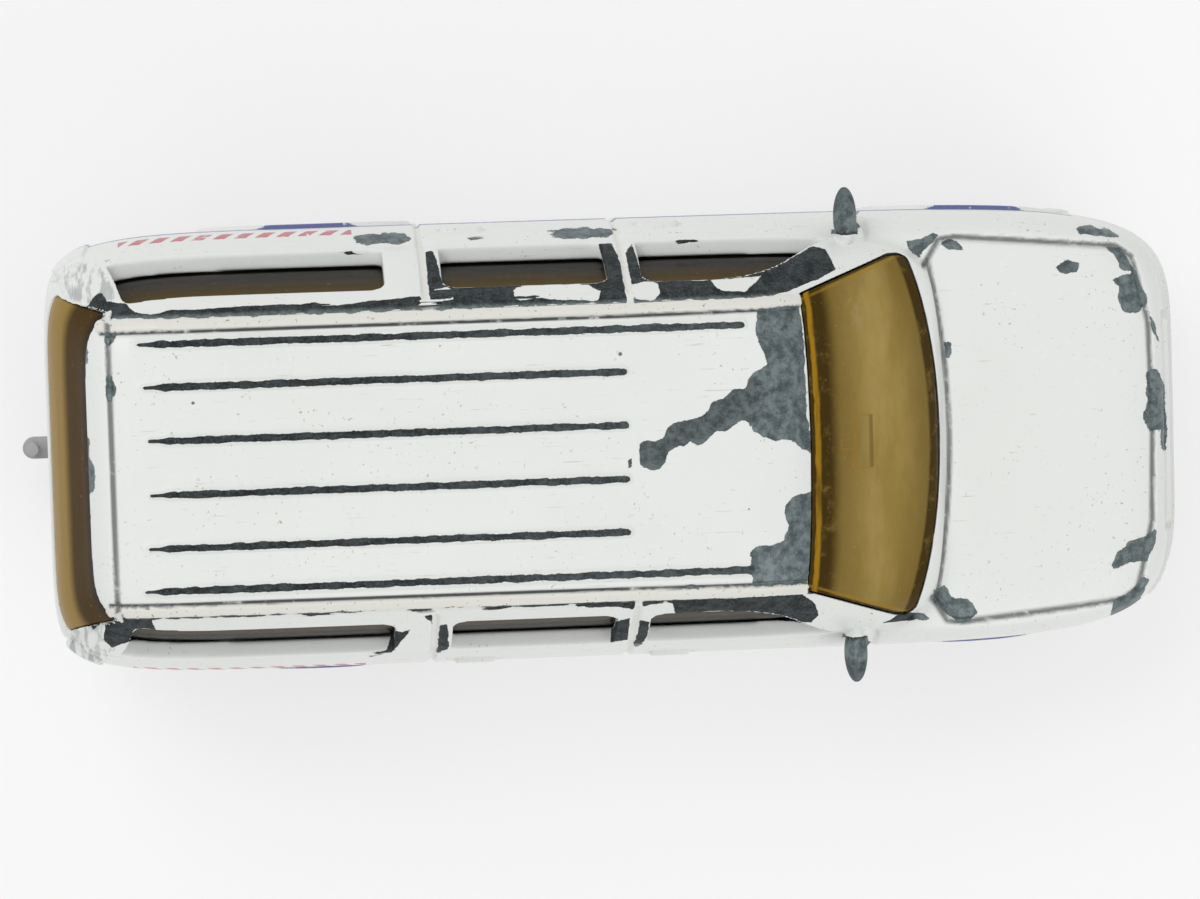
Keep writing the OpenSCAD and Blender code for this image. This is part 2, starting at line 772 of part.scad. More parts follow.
module grooves() {
    difference() {
        union() {
            across(body_w + overrun)
                door_lines();
            translate([0, 0, belt_z - 2 * side_round])
                linear_extrude(3 * side_round)
                    line_of(groove_w)
                        bonnet_plan();
            along(rear_x - overrun, tail_step + tail_lean / 2 + overrun)
                tailgate_line();
            translate([roof_rear_x - groove_w, -gutter_y - 2 * gutter_w, window_high_z])
                cube([groove_w, 2 * (gutter_y + 2 * gutter_w), roof_z]);
        }
        shell_form(-groove_d);
    }
}

module grille_cut() {
    difference() {
        along(front_x - face_depth, face_depth + overrun)
            for (i = [0 : grille_slots - 1])
                translate([-grille_w / 2, grille_low_z + i * grille_pitch])
                    square([grille_w, grille_slot]);
        lower_form(-grille_d);
    }
}

module handle_plan() {
    hull()
        for (side = [-1, 1])
            translate([side * (handle_len - handle_w) / 2, 0])
                circle(handle_w / 2, $fn = small_fn);
}

module face_details() {
    intersection() {
        lower_form(lamp_out);
        union() {
            for (side = [-1, 1]) {
                along(front_x - face_depth, face_depth + overrun)
                    translate([side * (grille_w / 2 + lamp_gap + lamp_w / 2), grille_low_z + lamp_h / 2])
                        square([lamp_w, lamp_h], center = true);
                along(rear_x - overrun, tail_lamp_w + overrun)
                    translate([side * (tail_lamp_y + tail_lamp_w / 2), tail_lamp_z + tail_lamp_h / 2])
                        square([tail_lamp_w, tail_lamp_h], center = true);
            }
        }
    }
    intersection() {
        lower_form(handle_h);
        across(body_w + overrun)
            for (x = [handle_rear_x, handle_front_x])
                translate([x, handle_z])
                    handle_plan();
    }
}

module arch_cuts() {
    for (x = [front_axle_x, rear_axle_x])
        translate([x, 0, axle_z])
            rotate([90, 0, 0])
                cylinder(body_w + 2 * overrun, r = arch_r, center = true, $fn = round_fn);
}

module arch_lips() {
    intersection() {
        lower_form(arch_lip_h);
        for (x = [front_axle_x, rear_axle_x])
            translate([x, 0, axle_z])
                rotate([90, 0, 0])
                    cylinder(body_w + overrun, r = arch_r + arch_lip_w, center = true, $fn = round_fn);
    }
}

module mirror_housing(side) {
    near_y = side * (belt_half_w + (mirror_span / 2 - belt_half_w) / 3);
    far_y = side * (mirror_span / 2 - mirror_t / 3);
    for (level = [-1, 1])
        hull() {
            translate([mirror_x, side * (belt_half_w - wall), mirror_z])
                sphere(mirror_t / 4, $fn = small_fn / 2);
            for (z = [mirror_z, mirror_z + level * (mirror_h - mirror_t) / 2]) {
                translate([mirror_x, near_y, z])
                    sphere(mirror_t / 2, $fn = small_fn / 2);
                translate([mirror_x, far_y, z])
                    sphere(mirror_t / 3, $fn = small_fn / 2);
            }
        }
}

// The inside of the shell under a wall of some thickness, open at its foot
module shell_inside(thickness) {
    shell_form(-thickness);
    open_below(lower_rings[0], -thickness, front_power, rear_power);
}

// Two posts take the rivets, and two ribs under the bonnet hold the front axle in its cradles
module posts() {
    intersection() {
        shell_inside(wall / 2);
        union() {
            translate([post_front_x, 0, post_low_z])
                cylinder(belt_z - post_low_z, d = post_d, $fn = small_fn);
            translate([post_rear_x, 0, post_low_z])
                cylinder(bonnet_under_z - fit_gap - post_low_z, d = post_d, $fn = small_fn);
            translate([rear_x, -post_d / 4, rim_top_z + fit_gap])
                cube([post_rear_x - rear_x, post_d / 2, bonnet_under_z - rim_top_z - 2 * fit_gap]);
            for (side = [-1, 1])
                translate([front_axle_x, side * leg_y, keeper_z])
                    linear_extrude(belt_z - keeper_z)
                        square(leg_w, center = true);
        }
    }
}

module body_casting() {
    color([0.93, 0.93, 0.92])
        difference() {
            union() {
                difference() {
                    union() {
                        shell_form(0);
                        roof_raised();
                        face_details();
                        arch_lips();
                    }
                    shell_inside(wall);
                    grooves();
                    grille_cut();
                    across(body_w + overrun)
                        side_windows();
                    screen_block(0);
                    rear_window_block(0);
                    arch_cuts();
                }
                posts();
                for (side = [-1, 1])
                    mirror_housing(side);
            }
            for (x = [post_front_x, post_rear_x])
                translate([x, 0, post_low_z - overrun])
                    cylinder(rivet_grip + overrun, d = rivet_d + 2 * run_gap, $fn = small_fn);
        }
}

module window_moulding() {
    outside = wall + fit_gap;
    inside = outside + glass_t;
    color([0.7, 0.42, 0.08, 0.6]) {
        difference() {
            union() {
                cabin_form(-outside);
                intersection() {
                    cabin_form(-glass_sink);
                    union() {
                        screen_block(fit_gap);
                        rear_window_block(fit_gap);
                    }
                }
            }
            cabin_form(-inside);
            open_below(cabin_rings[0], -inside, cabin_front_power, cabin_rear_power);
        }
        intersection() {
            cabin_form(-outside);
            translate([rear_view_x, 0, window_low_z + rear_view_h / 2]) {
                translate([-rear_view_len / 2, -rear_view_w / 2, 0])
                    cube([rear_view_len, rear_view_w, rear_view_h * 2]);
                translate([-rear_view_len * 2, -rear_view_stem_w / 2, rear_view_h])
                    cube([rear_view_len * 2, rear_view_stem_w, rear_view_h * 2]);
            }
        }
    }
}

module seat_profile() {
    polygon([
        [0, 0],
        [0, seat_h],
        [-seat_len + seat_back_t, seat_h],
        [-seat_len, seat_back_h],
        [-seat_len - seat_back_t, seat_back_h],
        [-seat_len - seat_back_t / 2, 0]
    ]);
}

module seat_row(front_edge, y, width) {
    translate([front_edge, y, tub_z + tub_t / 2])
        rotate([90, 0, 0])
            linear_extrude(width, center = true)
                seat_profile();
}

module seat_moulding() {
    margin = wall + fit_gap;
    bench_w = 2 * (belt_half_w - margin - 2 * tub_t);
    color([0.75, 0.73, 0.68])
        difference() {
            union() {
                translate([0, 0, tub_z])
                    linear_extrude(tub_t)
                        cabin_plan(margin);
                translate([0, 0, tub_z])
                    linear_extrude(tub_top_z - tub_z)
                        difference() {
                            cabin_plan(margin);
                            cabin_plan(margin + tub_t);
                        }
                for (side = [-1, 1])
                    seat_row(seat_front_x, side * seat_y, seat_w);
                seat_row(seat_second_x, 0, bench_w);
                seat_row(seat_third_x, 0, bench_w);
                translate([screen_x - margin - dash_len - tub_t, -bench_w / 2, tub_z])
                    cube([dash_len, bench_w, dash_h]);
                translate([screen_x - margin - dash_len - tub_t, seat_y, tub_z + dash_h])
                    rotate([0, -steering_tilt, 0]) {
                        translate([0, 0, -steering_d / 4])
                            cylinder(steering_d / 2, d = steering_t * 2, $fn = small_fn);
                        translate([0, 0, steering_d / 4])
                            rotate_extrude($fn = round_fn)
                                translate([steering_d / 2 - steering_t / 2, 0])
                                    circle(steering_t / 2, $fn = small_fn);
                        translate([0, 0, steering_d / 4])
                            cube([steering_d - steering_t, steering_t, steering_t], center = true);
                    }
                for (side = [-1, 1]) {
                    translate([rear_axle_x, side * leg_y, keeper_z])
                        linear_extrude(tub_z + tub_t / 2 - keeper_z)
                            square(leg_w, center = true);
                    translate([front_rear_x, side * leg_y, base_top_z + fit_gap])
                        linear_extrude(tub_z + tub_t / 2 - base_top_z - fit_gap)
                            square(leg_w, center = true);
                }
            }
            translate([post_rear_x, 0, tub_z - overrun])
                cylinder(tub_top_z - tub_z + 2 * overrun, d = post_d + 4 * fit_gap, $fn = round_fn);
            translate([rear_x, -post_d / 4 - 2 * fit_gap, tub_z - overrun])
                cube([post_rear_x - rear_x, post_d / 2 + 4 * fit_gap, tub_top_z - tub_z + 2 * overrun]);
        }
}

module wheel_notches(height) {
    for (x = [front_axle_x, rear_axle_x], side = [-1, 1])
        translate([x - arch_r, side > 0 ? base_waist / 2 : -body_w / 2 - base_waist / 2, -overrun])
            cube([2 * arch_r, body_w / 2, height + 2 * overrun]);
}

module base_plate() {
    margin = wall + fit_gap;
    color([0.2, 0.2, 0.21])
        difference() {
            union() {
                translate([0, 0, base_z])
                    linear_extrude(base_t)
                        sill_plan(margin + base_bevel);
                translate([0, 0, base_z + base_bevel])
                    linear_extrude(base_t - base_bevel)
                        sill_plan(margin);
                translate([0, 0, base_z + base_bevel])
                    linear_extrude(base_rim_h)
                        difference() {
                            sill_plan(margin);
                            sill_plan(margin + base_rim_t);
                        }
                for (x = [front_axle_x, rear_axle_x], side = [-1, 1])
                    translate([x, side * (base_waist - cradle_w) / 2, base_z])
                        linear_extrude(axle_z + cradle_h - base_z)
                            square([cradle_len, cradle_w], center = true);
                translate([rear_x - tow_reach + tow_w / 2, -tow_w / 2, tow_z])
                    cube([tow_reach + tail_round + wall + base_bevel + overrun, tow_w, tow_t]);
                translate([tow_pin_x, 0, tow_z])
                    cylinder(tow_t, d = tow_w, $fn = round_fn);
                translate([tow_pin_x, 0, tow_z + tow_t])
                    cylinder(tow_pin_h, d = tow_pin_d, $fn = round_fn);
                underside();
            }
            wheel_notches(axle_z + cradle_h);
            for (x = [front_axle_x, rear_axle_x]) {
                translate([x, 0, axle_z])
                    rotate([90, 0, 0])
                        cylinder(base_waist + overrun, r = hub_bore_r, center = true, $fn = round_fn);
                translate([x - hub_bore_r, -base_waist / 2 - overrun, axle_z])
                    cube([2 * hub_bore_r, base_waist + 2 * overrun, cradle_h + overrun]);
            }
            for (x = [post_front_x, post_rear_x]) {
                translate([x, 0, base_z - overrun])
                    cylinder(base_t + 2 * overrun, d = rivet_d + 2 * fit_gap, $fn = round_fn);
                translate([x, 0, base_z - overrun])
                    cylinder(rivet_head_t + overrun, d = rivet_head_d + 2 * fit_gap, $fn = round_fn);
            }
        }
}

// Running gear in low relief: smooth pad, propeller shaft, exhaust with its silencer, rear axle casing
module underside() {
    translate([-pad_len / 2, -pad_w / 2, base_z - relief_h])
        cube([pad_len, pad_w, relief_h + base_t / 2]);
    translate([rear_axle_x, 0, base_z])
        rotate([0, 90, 0])
            cylinder(wheelbase, r = relief_h, $fn = small_fn);
    translate([rear_axle_x - cradle_len, exhaust_y, base_z])
        rotate([0, 90, 0])
            cylinder(wheelbase, r = relief_h * 3 / 4, $fn = small_fn);
    translate([rear_axle_x + cradle_len, exhaust_y - silencer_w / 2, base_z - relief_h * 3 / 4])
        cube([silencer_len, silencer_w, relief_h + base_t / 2]);
    for (x = [front_axle_x, rear_axle_x])
        translate([x, 0, base_z])
            rotate([90, 0, 0])
                cylinder(base_waist - 2 * cradle_w, r = relief_h, center = true, $fn = small_fn);
    translate([rear_axle_x, 0, base_z - relief_h])
        cylinder(relief_h + base_t / 2, d = diff_d, $fn = round_fn);
}

module base_rivets() {
    color([0.7, 0.7, 0.72])
        for (x = [post_front_x, post_rear_x])
            translate([x, 0, base_z]) {
                cylinder(rivet_head_t - fit_gap, d = rivet_head_d, $fn = round_fn);
                cylinder(base_t + rivet_grip - fit_gap, d = rivet_d, $fn = round_fn);
            }
}

module axle(x) {
    color([0.75, 0.76, 0.78])
        translate([x, 0, axle_z])
            rotate([90, 0, 0])
                rotate_extrude($fn = round_fn)
                    polygon([
                        [0, -axle_tip_y],
                        [axle_head_d / 4, -axle_tip_y],
                        [axle_head_d / 2, -axle_tip_y + axle_head_t / 2],
                        [axle_head_d / 2, -axle_tip_y + axle_head_t],
                        [axle_d / 2, -axle_tip_y + axle_head_t],
                        [axle_d / 2, axle_tip_y - axle_head_t],
                        [axle_head_d / 2, axle_tip_y - axle_head_t],
                        [axle_head_d / 2, axle_tip_y - axle_head_t / 2],
                        [axle_head_d / 4, axle_tip_y],
                        [0, axle_tip_y]
                    ]);
}

// A wheel is drawn with its outer face towards +Z, then turned to its side of the car
module at_wheel(x, side) {
    translate([x, 0, axle_z])
        rotate([-side * 90, 0, 0])
            children();
}

module tyre(x, side) {
    shoulder = tyre_w / 6;
    color([0.1, 0.1, 0.1])
        at_wheel(x, side)
            difference() {
                rotate_extrude($fn = round_fn * 2)
                    polygon([
                        [hub_r, tyre_in_y],
                        [axle_z - shoulder, tyre_in_y],
                        [axle_z, tyre_in_y + shoulder],
                        [axle_z, tyre_out_y - shoulder],
                        [axle_z - shoulder, tyre_out_y],
                        [hub_r + shoulder / 2, tyre_out_y],
                        [hub_r, tyre_out_y - shoulder / 2]
                    ]);
                for (i = [0 : treads - 1])
                    rotate([0, 0, 360 * i / treads])
                        translate([axle_z - tread_d, -tread_w / 2, tyre_in_y - overrun])
                            cube([overrun, tread_w, tyre_w + 2 * overrun]);
            }
}

module hub(x, side) {
    rim_r = hub_r - tyre_gap;
    boss_r = axle_head_d / 2 + spoke_w / 4;
    lip = (hub_r - boss_r) / 4;
    color([0.72, 0.73, 0.75])
        at_wheel(x, side)
            difference() {
                translate([0, 0, tyre_in_y])
                    cylinder(hub_face_y - tyre_in_y, r = rim_r, $fn = round_fn);
                translate([0, 0, tyre_in_y - overrun])
                    cylinder(tyre_w + 2 * overrun, r = hub_bore_r, $fn = round_fn);
                difference() {
                    translate([0, 0, hub_face_y - dish_d])
                        cylinder(dish_d + overrun, r = rim_r - lip, $fn = round_fn);
                    translate([0, 0, hub_face_y - dish_d - overrun])
                        cylinder(dish_d + overrun, r = boss_r, $fn = round_fn);
                    for (i = [0 : spokes - 1])
                        rotate([0, 0, 360 * i / spokes])
                            translate([0, -spoke_w / 2, hub_face_y - dish_d - overrun])
                                cube([hub_r, spoke_w, dish_d + overrun - dish_d / 4]);
                }
            }
}

module front_axle() {
    axle(front_axle_x);
}

module rear_axle() {
    axle(rear_axle_x);
}

body_casting();
window_moulding();
seat_moulding();
base_plate();
base_rivets();
front_axle();
rear_axle();
tyre(front_axle_x, 1);  // tyre_front_left
tyre(front_axle_x, -1);  // tyre_front_right
tyre(rear_axle_x, 1);  // tyre_rear_left
tyre(rear_axle_x, -1);  // tyre_rear_right
hub(front_axle_x, 1);  // hub_front_left
hub(front_axle_x, -1);  // hub_front_right
hub(rear_axle_x, 1);  // hub_rear_left
hub(rear_axle_x, -1);  // hub_rear_right
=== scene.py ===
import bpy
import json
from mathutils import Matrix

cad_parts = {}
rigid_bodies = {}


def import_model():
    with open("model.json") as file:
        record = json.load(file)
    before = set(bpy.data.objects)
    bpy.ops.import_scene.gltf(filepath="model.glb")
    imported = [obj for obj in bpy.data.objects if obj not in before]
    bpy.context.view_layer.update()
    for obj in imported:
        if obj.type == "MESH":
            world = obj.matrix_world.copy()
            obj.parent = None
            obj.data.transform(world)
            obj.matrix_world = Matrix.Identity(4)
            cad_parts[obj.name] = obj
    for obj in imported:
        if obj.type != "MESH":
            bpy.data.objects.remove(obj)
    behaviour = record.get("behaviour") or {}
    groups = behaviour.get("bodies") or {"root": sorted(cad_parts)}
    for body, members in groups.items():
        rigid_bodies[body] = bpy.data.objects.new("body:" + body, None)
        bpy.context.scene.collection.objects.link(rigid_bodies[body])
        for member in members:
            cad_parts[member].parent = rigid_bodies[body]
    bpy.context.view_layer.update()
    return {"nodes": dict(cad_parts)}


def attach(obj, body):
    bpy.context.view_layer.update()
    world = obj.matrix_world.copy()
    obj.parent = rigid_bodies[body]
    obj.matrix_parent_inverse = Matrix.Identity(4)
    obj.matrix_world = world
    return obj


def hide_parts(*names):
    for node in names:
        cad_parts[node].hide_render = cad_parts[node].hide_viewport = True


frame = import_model()

import json
import math

import bpy
import numpy as np
from mathutils import Matrix, Vector

MM = 0.001

# The view: the toy is looked down on from a little behind and to the left of its middle,
# through a long lens, so the roof fills the picture and both sides just show.
target = Vector((-0.60, -0.70, 15.0))
towards = Vector((-math.tan(math.radians(4.43)), math.tan(math.radians(4.16)), 1.0)).normalized()
eye = target + towards * 305.0
roll = math.radians(-1.71)
picture_w, picture_h, focal = 1200.0, 899.0, 4708.0
pixels_per_mm = 15.4
level = (-towards).cross(Vector((0, 1, 0))).normalized()
upward = level.cross(-towards)
right = level * math.cos(roll) + upward * math.sin(roll)
up = upward * math.cos(roll) - level * math.sin(roll)

lens = bpy.data.cameras.new("view")
lens.sensor_width = 36.0
lens.lens = focal / picture_w * lens.sensor_width
lens.clip_start, lens.clip_end = 0.01, 10.0
view = bpy.data.objects.new("view", lens)
turned = Matrix((right, up, towards)).transposed().to_4x4()
view.matrix_world = Matrix.Translation(eye * MM) @ turned
bpy.context.scene.collection.objects.link(view)
bpy.context.scene.camera = view
bpy.context.scene.view_settings.view_transform = "Standard"


def in_picture(spots):
    """Where points in millimetres fall in the picture, so wear sits where it was seen"""
    ray = spots - np.array(eye)
    depth = ray @ np.array(-towards)
    across = picture_w / 2 + focal * (ray @ np.array(right)) / depth
    down = picture_h / 2 - focal * (ray @ np.array(up)) / depth
    return across, down


# The table: a plain pale floor and soft studio light. The world looks white to the camera alone,
# the floor also in reflections and through the windows, and it keeps the toy's soft shadow.
class Finish:
    """A material that starts empty, with short ways to add and join its nodes"""

    def __init__(self, name):
        self.material = bpy.data.materials.new(name)
        self.material.use_nodes = True
        self.tree = self.material.node_tree
        self.tree.nodes.clear()

    def add(self, kind, inputs=(), **settings):
        """Adds a node, sets it up and joins or fills its sockets"""
        made = self.tree.nodes.new("ShaderNode" + kind)
        for key, value in settings.items():
            setattr(made, key, value)
        for slot, value in dict(inputs).items():
            if isinstance(value, bpy.types.NodeSocket):
                self.tree.links.new(value, made.inputs[slot])
            else:
                made.inputs[slot].default_value = value
        return made

    def calc(self, how, a, b=0.0, c=0.0):
        """One sum"""
        return self.add("Math", {0: a, 1: b, 2: c}, operation=how).outputs[0]

    def step(self, value, low, high, bottom=0.0, top=1.0):
        """Eases from one number to another as a value passes two marks"""
        return self.add("MapRange", {0: value, 1: low, 2: high, 3: bottom, 4: top},
                        interpolation_type="SMOOTHSTEP").outputs[0]

    def blend(self, share, a, b):
        """One colour over another"""
        return self.add("Mix", {0: share, 6: a, 7: b}, data_type="RGBA").outputs[2]

    def noise(self, where, scale, detail=3.0, rough=0.55, stretch=None):
        """Cloudy noise, from 0 to 1"""
        if stretch:
            where = self.add("Mapping", {0: where, 3: stretch}).outputs[0]
        return self.add("TexNoise", {"Vector": where, "Scale": scale, "Detail": detail,
                                     "Roughness": rough}).outputs["Fac"]

    def close(self, shader):
        """Ends the material in its output"""
        self.add("OutputMaterial", {0: shader.outputs[0]})
        return self.material


bpy.ops.object.select_all(action="DESELECT")
bpy.ops.mesh.primitive_grid_add(x_subdivisions=8, y_subdivisions=8, size=2.4, location=(0, 0, 0))
floor = bpy.context.object
floor.name = "floor"
paper = Finish("floor_paper")
spot = paper.add("TexCoord").outputs["Object"]
tint = paper.blend(paper.noise(spot, 40.0), (0.84, 0.84, 0.845, 1), (0.87, 0.87, 0.87, 1))
matt = paper.add("BsdfPrincipled", {"Base Color": tint, "Roughness": 0.9})
lit = paper.add("Emission", {"Color": (1, 1, 1, 1), "Strength": 1.0})
ray = paper.add("LightPath")
shown = paper.calc("MAXIMUM", ray.outputs["Is Camera Ray"], ray.outputs["Is Glossy Ray"])
shown = paper.calc("MAXIMUM", shown, ray.outputs["Is Transmission Ray"])
white_share = paper.calc("MULTIPLY", shown, 0.62)
whitened = paper.add("MixShader", {0: white_share, 1: matt.outputs[0], 2: lit.outputs[0]})
floor.data.materials.append(paper.close(whitened))

world = bpy.data.worlds.new("studio")
world.use_nodes = True
bpy.context.scene.world = world
sky = world.node_tree
sky.nodes.clear()
sky_out = sky.nodes.new("ShaderNodeOutputWorld")
glow = sky.nodes.new("ShaderNodeBackground")
glow.inputs["Color"].default_value = (1, 1, 1, 1)
glow.inputs["Strength"].default_value = 0.62
white = sky.nodes.new("ShaderNodeBackground")
white.inputs["Color"].default_value = (1, 1, 1, 1)
white.inputs["Strength"].default_value = 1.0
path = sky.nodes.new("ShaderNodeLightPath")
pick = sky.nodes.new("ShaderNodeMixShader")
sky.links.new(path.outputs["Is Camera Ray"], pick.inputs[0])
sky.links.new(glow.outputs[0], pick.inputs[1])
sky.links.new(white.outputs[0], pick.inputs[2])
sky.links.new(pick.outputs[0], sky_out.inputs[0])


def lamp(name, spot, size, power):
    """A square soft box that looks at the toy"""
    light = bpy.data.lights.new(name, "AREA")
    light.size = size
    light.energy = power
    holder = bpy.data.objects.new(name, light)
    holder.location = spot
    holder.rotation_mode = "QUATERNION"
    holder.rotation_quaternion = (-Vector(spot)).to_track_quat("-Z", "Y")
    bpy.context.scene.collection.objects.link(holder)


lamp("key", (-0.35, 0.45, 0.75), 0.5, 2.9)
lamp("fill", (0.35, -0.6, 0.55), 0.6, 1.9)

# Body casting: one zinc die casting, dipped in thick white gloss paint. The cabin, bonnet, ribs,
# gutters, lamps, handles and mirrors are all cast in one, and the paint has worn off its edges.
front_x, rear_x = 38.175, -36.225
body_w, roof_z, sill_z, belt_z, wall = 28.4, 27.4, 6.0, 18.9, 1.1
nose_round, side_round, tail_round = 15.0, 1.25, 0.7
screen_x, screen_rake, tail_lean, tail_step, side_lean = front_x - 16.83, 12.07, 4.45, 0.25, 4.25
belt_half_w, skirt = body_w / 2 - side_round, 2.0
pane_foot, pane_head = 19.5, 25
screen_back_x, screen_back_half, screen_flare = 11.4, 9.4, 0.35
axle_xs, axle_z, arch_r = (24.575, -19.024), 5.8, 6.6
lower_powers, cabin_powers = (6.5, 10.0), (8.0, 9.0)

lower_rings = np.array([
    (sill_z + h * (belt_z - sill_z), rear_x + tail_round * r, front_x - nose_round * n,
     body_w / 2 - side_round * s, lift)
    for h, r, n, s, lift in (
        (0, 1, .093, .64, 0), (.09, 0, 0, .28, 0), (.295, 0, .007, .06, 0),
        (.325, .45, .067, .05, 0), (.54, .36, .08, 0, 0), (.74, .3, .12, .12, .1),
        (.87, .3, .2, .4, .4), (.915, .32, .293, .6, .7), (.96, .36, .567, .8, 1),
        (1, .43, 1, 1, 1))
])
cabin_rings = np.array(
    [(belt_z - skirt, rear_x + tail_step, screen_x, belt_half_w, 0)] + [
        (belt_z + h * (roof_z - belt_z), rear_x + tail_step + tail_lean * t,
         screen_x - screen_rake * k, belt_half_w - side_lean * s, lift)
        for h, t, k, s, lift in (
            (0, 0, 0, 0, 0), (.741, .589, .71, .595, .3), (.835, .663, .797, .694, .6),
            (.918, .82, .9, .859, .9), (.959, 1, 1, 1, 1), (.988, 1.8, 1.35, 1.52, 1),
            (1, 2.8, 1.8, 2.34, 1))
    ])


def between(rings, cuts=6):
    """More rings on a curve through the given ones"""
    steps = np.linalg.norm(np.diff(rings[:, :4], axis=0) * (1, 0.4, 0.4, 1), axis=1)
    slopes = np.diff(rings, axis=0) / steps[:, None]
    ends = np.vstack([slopes[:1], slopes[-1:]])
    inner = (slopes[1:] * steps[:-1, None] + slopes[:-1] * steps[1:, None])
    inner /= (steps[1:] + steps[:-1])[:, None]
    slant = np.vstack([ends[:1], inner, ends[1:]])
    made = []
    for k, step in enumerate(steps):
        for s in np.arange(cuts) / cuts:
            made.append((2 * s**3 - 3 * s**2 + 1) * rings[k] + (3 * s**2 - 2 * s**3) * rings[k + 1]
                        + step * ((s**3 - 2 * s**2 + s) * slant[k] + (s**3 - s**2) * slant[k + 1]))
    return np.array(made + [rings[-1]])


def grown(rings, by):
    """Rings made larger or smaller all round"""
    return np.column_stack([rings[:, 0] + by * rings[:, 4], rings[:, 1] - by, rings[:, 2] + by,
                            rings[:, 3] + by, rings[:, 4]])


def edit(*steps):
    """Runs mesh operators on the whole active mesh"""
    bpy.ops.object.mode_set(mode="EDIT")
    bpy.ops.mesh.select_all(action="SELECT")
    for step in steps:
        step()
    bpy.ops.object.mode_set(mode="OBJECT")


def close_up():
    """Welds seams, fills open ends and turns the faces outwards"""
    bpy.ops.mesh.remove_doubles(threshold=0.0002)
    bpy.ops.mesh.fill_holes(sides=0)
    bpy.ops.mesh.select_all(action="SELECT")
    bpy.ops.mesh.normals_make_consistent(inside=False)


def spots_of(mesh, what="co"):
    """The mesh's points or normals as rows"""
    flat = np.empty(len(mesh.vertices) * 3)
    mesh.vertices.foreach_get(what, flat)
    return flat.reshape(-1, 3)


def lofted(rings, powers, turns=192):
    """A sheet rolled into the plan of the car at each ring's height, closed at both ends"""
    bpy.ops.object.select_all(action="DESELECT")
    bpy.ops.mesh.primitive_grid_add(x_subdivisions=turns, y_subdivisions=len(rings) - 1, size=2)
    sheet = bpy.context.object
    flat = spots_of(sheet.data)
    turn = (flat[:, 0] + 1) * math.pi
    ring = rings[np.rint((flat[:, 1] + 1) / 2 * (len(rings) - 1)).astype(int)]
    c, s = np.cos(turn), np.sin(turn)
    power = 2 / np.where(c > 0, powers[0], powers[1])
    x = (ring[:, 1] + ring[:, 2]) / 2 + (ring[:, 2] - ring[:, 1]) / 2 * np.sign(c) * np.abs(c)**power
    y = ring[:, 3] * np.sign(s) * np.abs(s)**power
    y[np.abs(s) < 1e-5] = 0
    sheet.data.vertices.foreach_set("co", np.column_stack([x, y, ring[:, 0]]).ravel())
    edit(close_up)
    return sheet


def rounded(corners, radii, cuts=7):
    """An outline with its corners rounded"""
    made = []
    for k, (corner, radius) in enumerate(zip(corners, radii)):
        spot = Vector(corner)
        to_last = (Vector(corners[k - 1]) - spot).normalized()
        to_next = (Vector(corners[(k + 1) % len(corners)]) - spot).normalized()
        half = to_last.angle(to_next) / 2
        start, end = spot + to_last * (radius / math.tan(half)), spot + to_next * (radius / math.tan(half))
        centre = spot + (to_last + to_next).normalized() * (radius / math.sin(half))
        for s in range(cuts + 1):
            mid = start.lerp(end, s / cuts) - centre
            made.append(tuple(centre + mid.normalized() * radius))
    return made


def prism(outline, axis, low, high):
    """An outline pushed along one axis of the car"""
    bpy.ops.object.select_all(action="DESELECT")
    bpy.ops.mesh.primitive_circle_add(vertices=len(outline), radius=1, fill_type="NGON")
    block = bpy.context.object
    place = {"X": lambda a, b: (low, a, b), "Y": lambda a, b: (a, low, b), "Z": lambda a, b: (a, b, low)}
    for corner, spot in zip(block.data.vertices, outline):
        corner.co = place[axis](*spot)
    push = [0, 0, 0]
    push["XYZ".index(axis)] = high - low
    edit(lambda: bpy.ops.mesh.extrude_region_move(TRANSFORM_OT_translate={"value": push}), close_up)
    return block


def joined_by(how, solid, *others):
    """Cuts, adds or intersects solids and removes the tools"""
    for other in others:
        bpy.ops.object.select_all(action="DESELECT")
        bpy.context.view_layer.objects.active = solid
        solid.select_set(True)
        bpy.ops.object.modifier_add(type="BOOLEAN")
        step = solid.modifiers[-1]
        step.operation, step.object, step.solver = how, other, "MANIFOLD"
        bpy.ops.object.modifier_apply(modifier=step.name)
        bpy.data.objects.remove(other)
    return solid


def shell(by, low=0.0):
    """The outside of the car made larger or smaller, and carried further down"""
    curves = between(lower_rings)
    curves[:, 1:4] = np.clip(curves[:, 1:4], (rear_x, 0, 0), (0, front_x, body_w / 2))
    lower = grown(curves, by)
    if low:
        lower = np.vstack([lower[:1] - (low, 0, 0, 0, 0), lower])
    return joined_by("UNION", lofted(lower, lower_powers),
                     lofted(grown(between(cabin_rings), by), cabin_powers))


def screen_outline(margin=0.0):
    """The windscreen opening seen from above: a bowed header, two leaning sides, a bowed foot"""
    half = (screen_x - rear_x - tail_step) / 2 - 0.4
    middle = (screen_x + rear_x + tail_step) / 2
    y = np.linspace(-12.2, 12.2, 123)
    wide = np.abs(y) + margin
    corner = middle + half * np.maximum(0, 1 - (wide / (belt_half_w - 0.4))**8)**0.125
    foot = np.minimum(screen_foot(wide), corner) - margin
    side = screen_back_x + (wide - screen_back_half) / screen_flare
    back = np.maximum(screen_head(wide), side) + margin
    keep = back < foot - 0.05
    return ([(a, b) for a, b in zip(foot[keep], y[keep])]
            + [(a, b) for a, b in zip(back[keep][::-1], y[keep][::-1])])


def screen_head(wide):
    """The bowed edge between roof and windscreen"""
    return 11.8 - 0.42 * (wide / screen_back_half)**2


def screen_foot(wide):
    """The bowed edge between windscreen and bonnet"""
    return screen_x - 0.4 - 1.3 * (wide / 9.3)**2


